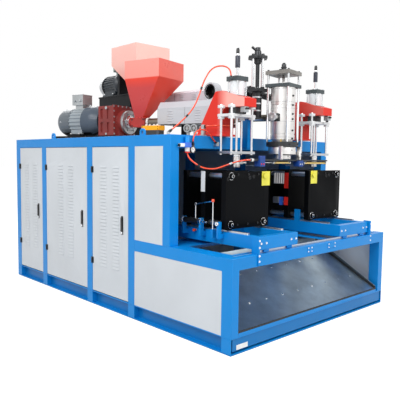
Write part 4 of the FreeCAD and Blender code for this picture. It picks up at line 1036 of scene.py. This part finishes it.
class MOULDER_OT_extruders(Operator):
    """Dresses both extruders, from the motors to the barrel covers."""
    bl_idname = "moulder.extruders"
    bl_label = "Extruders"

    def execute(self, context):
        dress("skid_left", "enamel_black", 1.2)
        dress("motor_left", "enamel_motor_grey", 1.2, 35, (
            ("enamel_cowl_grey", lambda p, n: p.y > 2449),
            ("enamel_bell_grey", lambda p, n: p.y < 2263),
            ("enamel_black", lambda p, n: p.z < 1640 and abs(p.x) > 60),
            ("die_cast_aluminium", lambda p, n: p.z > 1905)), LEFT)
        dress("gearbox_left", "cast_iron_oxblood", 2.0)
        dress("thrust_flange", "die_cast_aluminium", 1.0)
        dress("feed_throat_left", "cast_iron_scarlet", 1.2)
        # The left hopper's enamel carries a painted sheen on its rim and painted shade under its slope.
        dress("hopper_left", "enamel_red_painted_light", 1.0)
        dress("barrel_left", "nitrided_steel", 1.0)
        dress("cover_left", "powder_coat_silver", 0.8)
        # The fans' openings take the black of painted shade.
        dress("barrel_fans", "die_cast_aluminium", 0.8, 35, (
            ("painted_bore_shade", lambda p, n: -158 < p.x < -150 and 1620 < p.z < 1692 and abs(n.x) > 0.9),),
              LEFT)
        dress("cooling_unit", "powder_coat_charcoal", 2.0, 35, (
            ("powder_coat_amber", lambda p, n: p.z > 1637.5),))
        dress("drive_stand_right", "enamel_black", 2.0)
        dress("motor_right", "enamel_motor_dark", 1.2, 35, (
            ("enamel_cowl_pale", lambda p, n: p.y > 2641),
            ("enamel_box_grey", lambda p, n: p.z > 2350)), RIGHT)
        dress("feed_throat_right", "cast_iron_scarlet", 1.2)
        # The far hopper's enamel is painted glare.
        dress("hopper_right", "enamel_red_painted_glare", 1.0)
        dress("barrel_right", "nitrided_steel", 1.0, 35, (("oiled_steel", lambda p, n: p.y < 421),), RIGHT)
        # The far cover's body takes the paler silver, painted light; its ridges take the common one.
        dress("cover_right", "powder_coat_silver_painted_light", 0.8, 35, (
            ("powder_coat_silver", lambda p, n: abs(p.x) > 100.4),), RIGHT)
        # The inside of the blower's inlet takes the black of painted shade.
        dress("blower_housing", "powder_coat_silver", 1.2, 35, (
            ("painted_bore_shade", lambda p, n: -127.5 < p.x < -60 and (n.x < -0.9 or abs(n.x) < 0.9)
             and math.hypot(p.y - BLOWER.y, p.z - BLOWER.z) < 80),))
        dress("blower_wheel", "oiled_steel", 0.5)
        self.motor("left", LEFT, "die_cast_aluminium", "enamel_cowl_grey", radius=156, z=1757,
                   reach=(2262, 2450), cowl=182, lid=(2312, 2470), lid_z=2048.5, foot_z=1622)
        self.motor("right", RIGHT, "enamel_box_grey", "enamel_black", radius=124, z=2236,
                   reach=(2400, 2640), cowl=110, lid=(2371, 2491), lid_z=2462, foot_z=2122)
        self.gearbox()
        self.throats()
        self.covers()
        self.fans_and_cooler()
        return {"FINISHED"}

    def motor(self, side, turn, lid_finish, band_finish, radius, z, reach, cowl, lid, lid_z, foot_z):
        """Lid with glands, eye bolt, cowl bands and fasteners of one motor.

        Its ribs reach from y to y round an axis at height z, and its cowl lies behind them."""
        slot = "motor_grey"
        low, high = reach
        shape = Shape(turn).box(-75, 75, lid[0] - 3, lid[1] + 3, lid_z, lid_z + 6)
        for y in (lid[0] + 40, lid[1] - 40):
            shape.rod(13, (-72, y, lid_z - 60), -X, 20, 20, 1.5).rod(13, (72, y, lid_z - 60), X, 20, 20, 1.5)
        shape.piece("motor_lid_" + side, lid_finish, slot, bevel=2.0)
        ring = Shape(turn)
        if side == "right":
            ring.ring(radius + 1.5, radius - 6, (0, high, z), Y, 13, 72, 1.5)
        ring.ring(radius - 2.5, radius - 8, (0, high + 20, z), Y, 7, 72, 1.0)
        ring.piece("cowl_band_" + side, band_finish, slot)
        eye = Shape(turn)
        top = z + radius - 6
        eye.rod(9, (0, low + 14, top - 8), Z, 14, 20, 1.0)
        eye.torus(15, 4.5, (0, low + 14, top + 20))
        eye.piece("motor_eye_" + side, "die_cast_aluminium", slot)
        spots = [((dx, y, lid_z + 6), Z) for dx in (-64, 64) for y in (lid[0] + 8, lid[1] - 8)]
        bolts("lid_screws_" + side, spots, "hard_chrome", 5, 3.5, 7, 0.8, 12, turn)
        feet = [((s * radius * 0.92, y, foot_z), Z) for s in (-1, 1) for y in (low + 32, high - 32)]
        bolts("foot_bolts_" + side, feet, "hard_chrome", 11, 9, 15, 2, 6, turn)
        bell = [(spot, -Y) for spot, _ in circle(6, 30, radius * 0.99, (0, low - 3, z), Z, X)]
        bolts("bell_bolts_" + side, bell, "hard_chrome", 8, 8, 10, 1.5, 6, turn)
        cowls = circle(6, 30, radius - 4, (0, high + cowl - 58, z), Z, X)
        bolts("cowl_screws_" + side, cowls, "hard_chrome", 4.5, 2.5, 6, 0.6, 12, turn)

    def gearbox(self):
        """Bolts on the gearbox, the hub and the sockets of its thrust flange, and two plugs."""
        face = [((dx, 1786, z), -Y) for dx in (-160, 160) for z in (1618, 1676, 1734, 1792, 1850, 1900)]
        face += [((dx, 1786, 1902), -Y) for dx in (-96, -32, 32, 96)]
        bolts("gearbox_bolts", face, "die_cast_aluminium", 7, 5, 9.5, 1.2, 6, LEFT)
        nose = [(spot, -Y) for spot, _ in circle(10, 18, 114, (0, 1735, BARREL_Z), X, Z)]
        bolts("nose_bolts", nose, "oiled_steel", 6, 4.5, 8, 1, 6, LEFT)
        hub = Shape(LEFT).lathe([(50.3, 0), (66, 0), (70, -4), (70, -10), (58, -16), (58, -24), (50.3, -24)],
                                (0, 1706, BARREL_Z), Y, 48)
        hub.piece("thrust_hub", "hard_chrome", "gearbox_red")
        # The sockets are black cups: painted shade inside them.
        sockets = Shape(LEFT)
        for spot, _ in circle(6, 0, 96, (0, 1712, BARREL_Z), X, Z):
            sockets.lathe([(8.6, 0), (8.6, 8), (0, 8)], spot, Y, 20)
        sockets.piece("thrust_sockets", "painted_bore_shade", "gearbox_red")
        outer = Shape(LEFT).ring(88, 84, (0, 1705.4, BARREL_Z), Y, 1.2, 64, 0.4)
        outer.piece("thrust_groove", "oiled_steel", "gearbox_red")
        plug = Shape(LEFT).rod(15, (-160, 1894, 1884), -X, 7, 24, 1.5)
        plug.rod(12, (-160, 1894, 1618), -X, 6, 24, 1.5)
        plug.piece("gearbox_plugs", "die_cast_aluminium", "gearbox_red")

    def throats(self):
        """Bolts round the feed throats and the hoppers' lips, and the pale collar of the left barrel."""
        for side, turn, y0, y1, z, lip_y, lip_z, lip in (("left", LEFT, 1475, 1646, 1731, 1552, 1777, 59),
                                                         ("right", RIGHT, 1794, 1958, 1973, 1876, 2027, 64)):
            spots = [((-62, y, z + dz), -X) for y in (y0 + 14, y1 - 14) for dz in (-32, 32)]
            spots += [((dx, y0, z + dz), -Y) for dx in (-50, 50) for dz in (-34, 34)]
            bolts("throat_bolts_" + side, spots, "cast_iron_dark", 6.5, 5, 9, 1.2, 6, turn)
            rim = [((s * lip, lip_y + d, lip_z + 4), (s, 0, 0)) for s in (-1, 1) for d in (-44, 0, 44)]
            rim += [((d, lip_y - lip, lip_z + 4), -Y) for d in (-44, 0, 44)]
            bolts("lip_screws_" + side, rim, "enamel_black", 3.6, 3, 3.8, 0.4, 6, turn)
        ends = Shape(LEFT).ring(47, 34.3, (0, 1284, BARREL_Z), Y, 13, 48, 1.2)
        ends.ring(41, 34.3, (0, 1452, BARREL_Z), Y, 22, 48, 1.2)
        ends.piece("barrel_collar", "abs_white", "steel")

    def covers(self):
        """Screws, foot rails and the middle joint of the barrel covers."""
        for side, turn, half, y0, y1, z0, z1 in (("left", LEFT, 130, 620, 1256, 1700, 1857),
                                                 ("right", RIGHT, 100, 890, 1770, 1925, 2035)):
            spots = [((s * half, y, z), (s, 0, 0)) for s in (-1, 1) for z in (z0 + 9, z1 - 8)
                     for y in range(y0 + 20, y1 - 10, 85)]
            bolts("cover_screws_" + side, spots, "powder_coat_silver", sizes().screw / MM / 2,
                  2.6, 5.8, 0.5, 12, turn)
            rails, joint, y = Shape(turn), Shape(turn), (y0 + y1) / 2
            for s in (-1, 1):
                rails.box(s * (half - 4), s * (half + 3), y0 + 4, y1 - 4, z0 - 9, z0 + 1)
                joint.box(s * half, s * (half + 0.8), y - 1.2, y + 1.2, z0 + 2, z1 - 2)
            rails.piece("cover_rail_" + side, "rubber_black", "cover_grey", bevel=0.8)
            joint.piece("cover_joint_" + side, "powder_coat_charcoal", "cover_grey")

    def fans_and_cooler(self):
        """Guards of the barrel's fans, slots of painted shade and caps of the cooler, and a black ring of
        painted shade round the blower's inlet.
        """
        guard = Shape(LEFT)
        for y in (806, 882):
            for radius in (28.5, 21, 13.5):
                guard.ring(radius, radius - 1.6, (-179.6, y, 1655), X, 1.6, 32, 0.5)
            guard.box(-179.6, -178, y - 29, y + 29, 1654.2, 1655.8)
            guard.box(-179.6, -178, y - 0.8, y + 0.8, 1626, 1684)
            guard.rod(34, (-128, y, 1655), X, 5, 32, 1.5)
        guard.piece("fan_guards", "hard_chrome", "black_paint")
        # The slots are near-black strips: painted shade.
        slots = Shape(LEFT)
        for z in range(1574, 1634, 10):
            slots.box(-291.2, -290, 1150, 1293, z, z + 4).box(-276, -214, 1123.8, 1125, z, z + 4)
        slots.piece("cooler_slots", "painted_bore_shade", "motor_grey")
        caps = Shape(LEFT)
        for y in (1152, 1190, 1240, 1284):
            caps.lathe([(0, 0), (9, 0), (9, 8), (6, 10), (6, 16), (0, 16)], (-272, y, 1680), Z, 20)
        caps.box(-250, -212, 1160, 1196, 1680, 1690)
        caps.piece("cooler_caps", "nylon_white", "motor_grey", bevel=0.6)
        spots = [((-295, y, z), -X) for y in (1130, 1312) for z in (1647, 1671)]
        bolts("cooler_screws", spots, "enamel_black", 3.5, 2, 5, 0.5, 12, LEFT)
        # A black ring round the inlet that widens its dark opening: painted shade.
        inlet = Shape().ring(71, 62.5, (-134.5, BLOWER.y, BLOWER.z), X, 2.5, 56, 0.8)
        inlet.piece("blower_inlet_shade_ring", "enamel_black", "motor_grey")
        rim = [(spot, -X) for spot, _ in circle(8, 22, 79, (-132, BLOWER.y, BLOWER.z), Y, Z)]
        bolts("blower_screws", rim, "hard_chrome", 3.2, 2.2, 4.4, 0.5, 12)


class MOULDER_OT_air_unit(Operator):
    """Dresses the pressure regulator, the gauge and the hose fittings."""
    bl_idname = "moulder.air_unit"
    bl_label = "Air unit"

    def execute(self, context):
        face = -1030          # y of the unit's front
        gauge = (-862, 1446)  # x and z of the gauge's axis

        def dial(p):
            return math.hypot(p.x - gauge[0], p.z - gauge[1])

        dress("air_unit", "die_cast_aluminium", 0.8, 50, (
            ("abs_blue", lambda p, n: -946 < p.x < -885 and 1461 < p.z < 1501),
            ("enamel_blue", lambda p, n: p.x < -885.5 and 1500.5 < p.z < 1559),
            ("nylon_white", lambda p, n: p.x < -945.5 and p.z < 1559),
            ("nylon_white", lambda p, n: -931 < p.x < -889 and p.z < 1461.5),
            ("nylon_black", lambda p, n: dial(p) < 28 and p.y < face - 22.5),
            ("nylon_black", lambda p, n: -855 < p.x < -835 and p.z > 1476.5),
            ("nylon_black", lambda p, n: p.x < -1000 and p.z > 1573)))
        self.gauge(face, *gauge)
        self.knob(face)
        return {"FINISHED"}

    def gauge(self, face, x, z):
        """The gauge's dial, rim, ticks and hand."""
        front = (x, face - 36, z)
        Shape().lathe([(22.5, 0.4), (0, 0.5)], front, -Y, 40).piece("gauge_dial", "abs_white", "steel")
        profile = [(27.4, -18), (28.4, -16), (28.4, 2), (26, 4.5), (22.5, 3.5), (22.5, 0)]
        rim = Shape().lathe(profile, front, -Y, 48)
        rim.piece("gauge_rim", "nylon_black", "steel")
        marks = Shape()
        for a in [math.radians(225 - 27 * k) for k in range(11)]:
            for radius in (17.5, 20.5):
                u, v = x + math.cos(a) * radius, z + math.sin(a) * radius
                marks.box(u - 0.6, u + 0.6, face - 37.4, face - 37.0, v - 0.6, v + 0.6)
        side = Vector((0.8, 0, 0.5)).normalized()
        along = Vector((-0.5, 0, 0.8)).normalized()
        base = Vector((x, face - 37.4, z))
        marks.prism([base + side * 1.2, base + along * 15, base - side * 1.2, base - along * 4], (0, -0.6, 0))
        marks.rod(2.2, base, -Y, 1.4, 16)
        marks.piece("gauge_marks", "nylon_black", "steel")

    def knob(self, face):
        """The regulator's ribbed knob and its red outlet."""
        shape = Shape()
        shape.lathe([(0, 0), (11, 0), (12, 1), (12, 5), (10, 6), (10, 11), (8, 12), (0, 12)],
                    (-985, face - 17, 1479), -X, 32)
        for spot, _ in circle(14, 0, 10.2, (0, face - 17, 1479), Y, Z):
            shape.box(-996, -991, spot.y - 0.8, spot.y + 0.8, spot.z - 0.8, spot.z + 0.8)
        shape.piece("regulator_knob", "nylon_black", "steel")
        cap = Shape().ring(21.5, 6.2, (-910, -1053, 1428), -Z, 8, 32, 1.0)
        cap.piece("regulator_outlet", "abs_red", "steel")


class MOULDER_PT_sidebar(Panel):
    """Lists the sizes, the colours and the operators."""
    bl_idname = "MOULDER_PT_sidebar"
    bl_label = "Blow moulding machine"
    bl_space_type = "VIEW_3D"
    bl_region_type = "UI"
    bl_category = "Moulding"

    def draw(self, context):
        for group in (colours(), sizes(), context.scene.moulder_stage):
            column = self.layout.column()
            for key in group.bl_rna.properties.keys():
                if key not in ("rna_type", "name"):
                    column.prop(group, key)
        for operator in OPERATORS:
            self.layout.operator(operator.bl_idname)


OPERATORS = (MOULDER_OT_stage, MOULDER_OT_hoses, MOULDER_OT_frame, MOULDER_OT_doors, MOULDER_OT_stations,
             MOULDER_OT_towers, MOULDER_OT_die_head, MOULDER_OT_extruders, MOULDER_OT_air_unit)
CLASSES = (MoulderColours, MoulderSizes, MoulderStage) + OPERATORS + (MOULDER_PT_sidebar,)


def register():
    for entry in CLASSES:
        bpy.utils.register_class(entry)
    bpy.types.Scene.moulder_colours = PointerProperty(type=MoulderColours)
    bpy.types.Scene.moulder_sizes = PointerProperty(type=MoulderSizes)
    bpy.types.Scene.moulder_stage = PointerProperty(type=MoulderStage)


def unregister():
    del bpy.types.Scene.moulder_colours, bpy.types.Scene.moulder_sizes, bpy.types.Scene.moulder_stage
    for entry in reversed(CLASSES):
        bpy.utils.unregister_class(entry)


def main():
    register()
    make_finishes()
    for operator in OPERATORS:
        group, name = operator.bl_idname.split(".")
        getattr(getattr(bpy.ops, group), name)()
    bpy.context.view_layer.update()


if __name__ == "__main__":
    main()
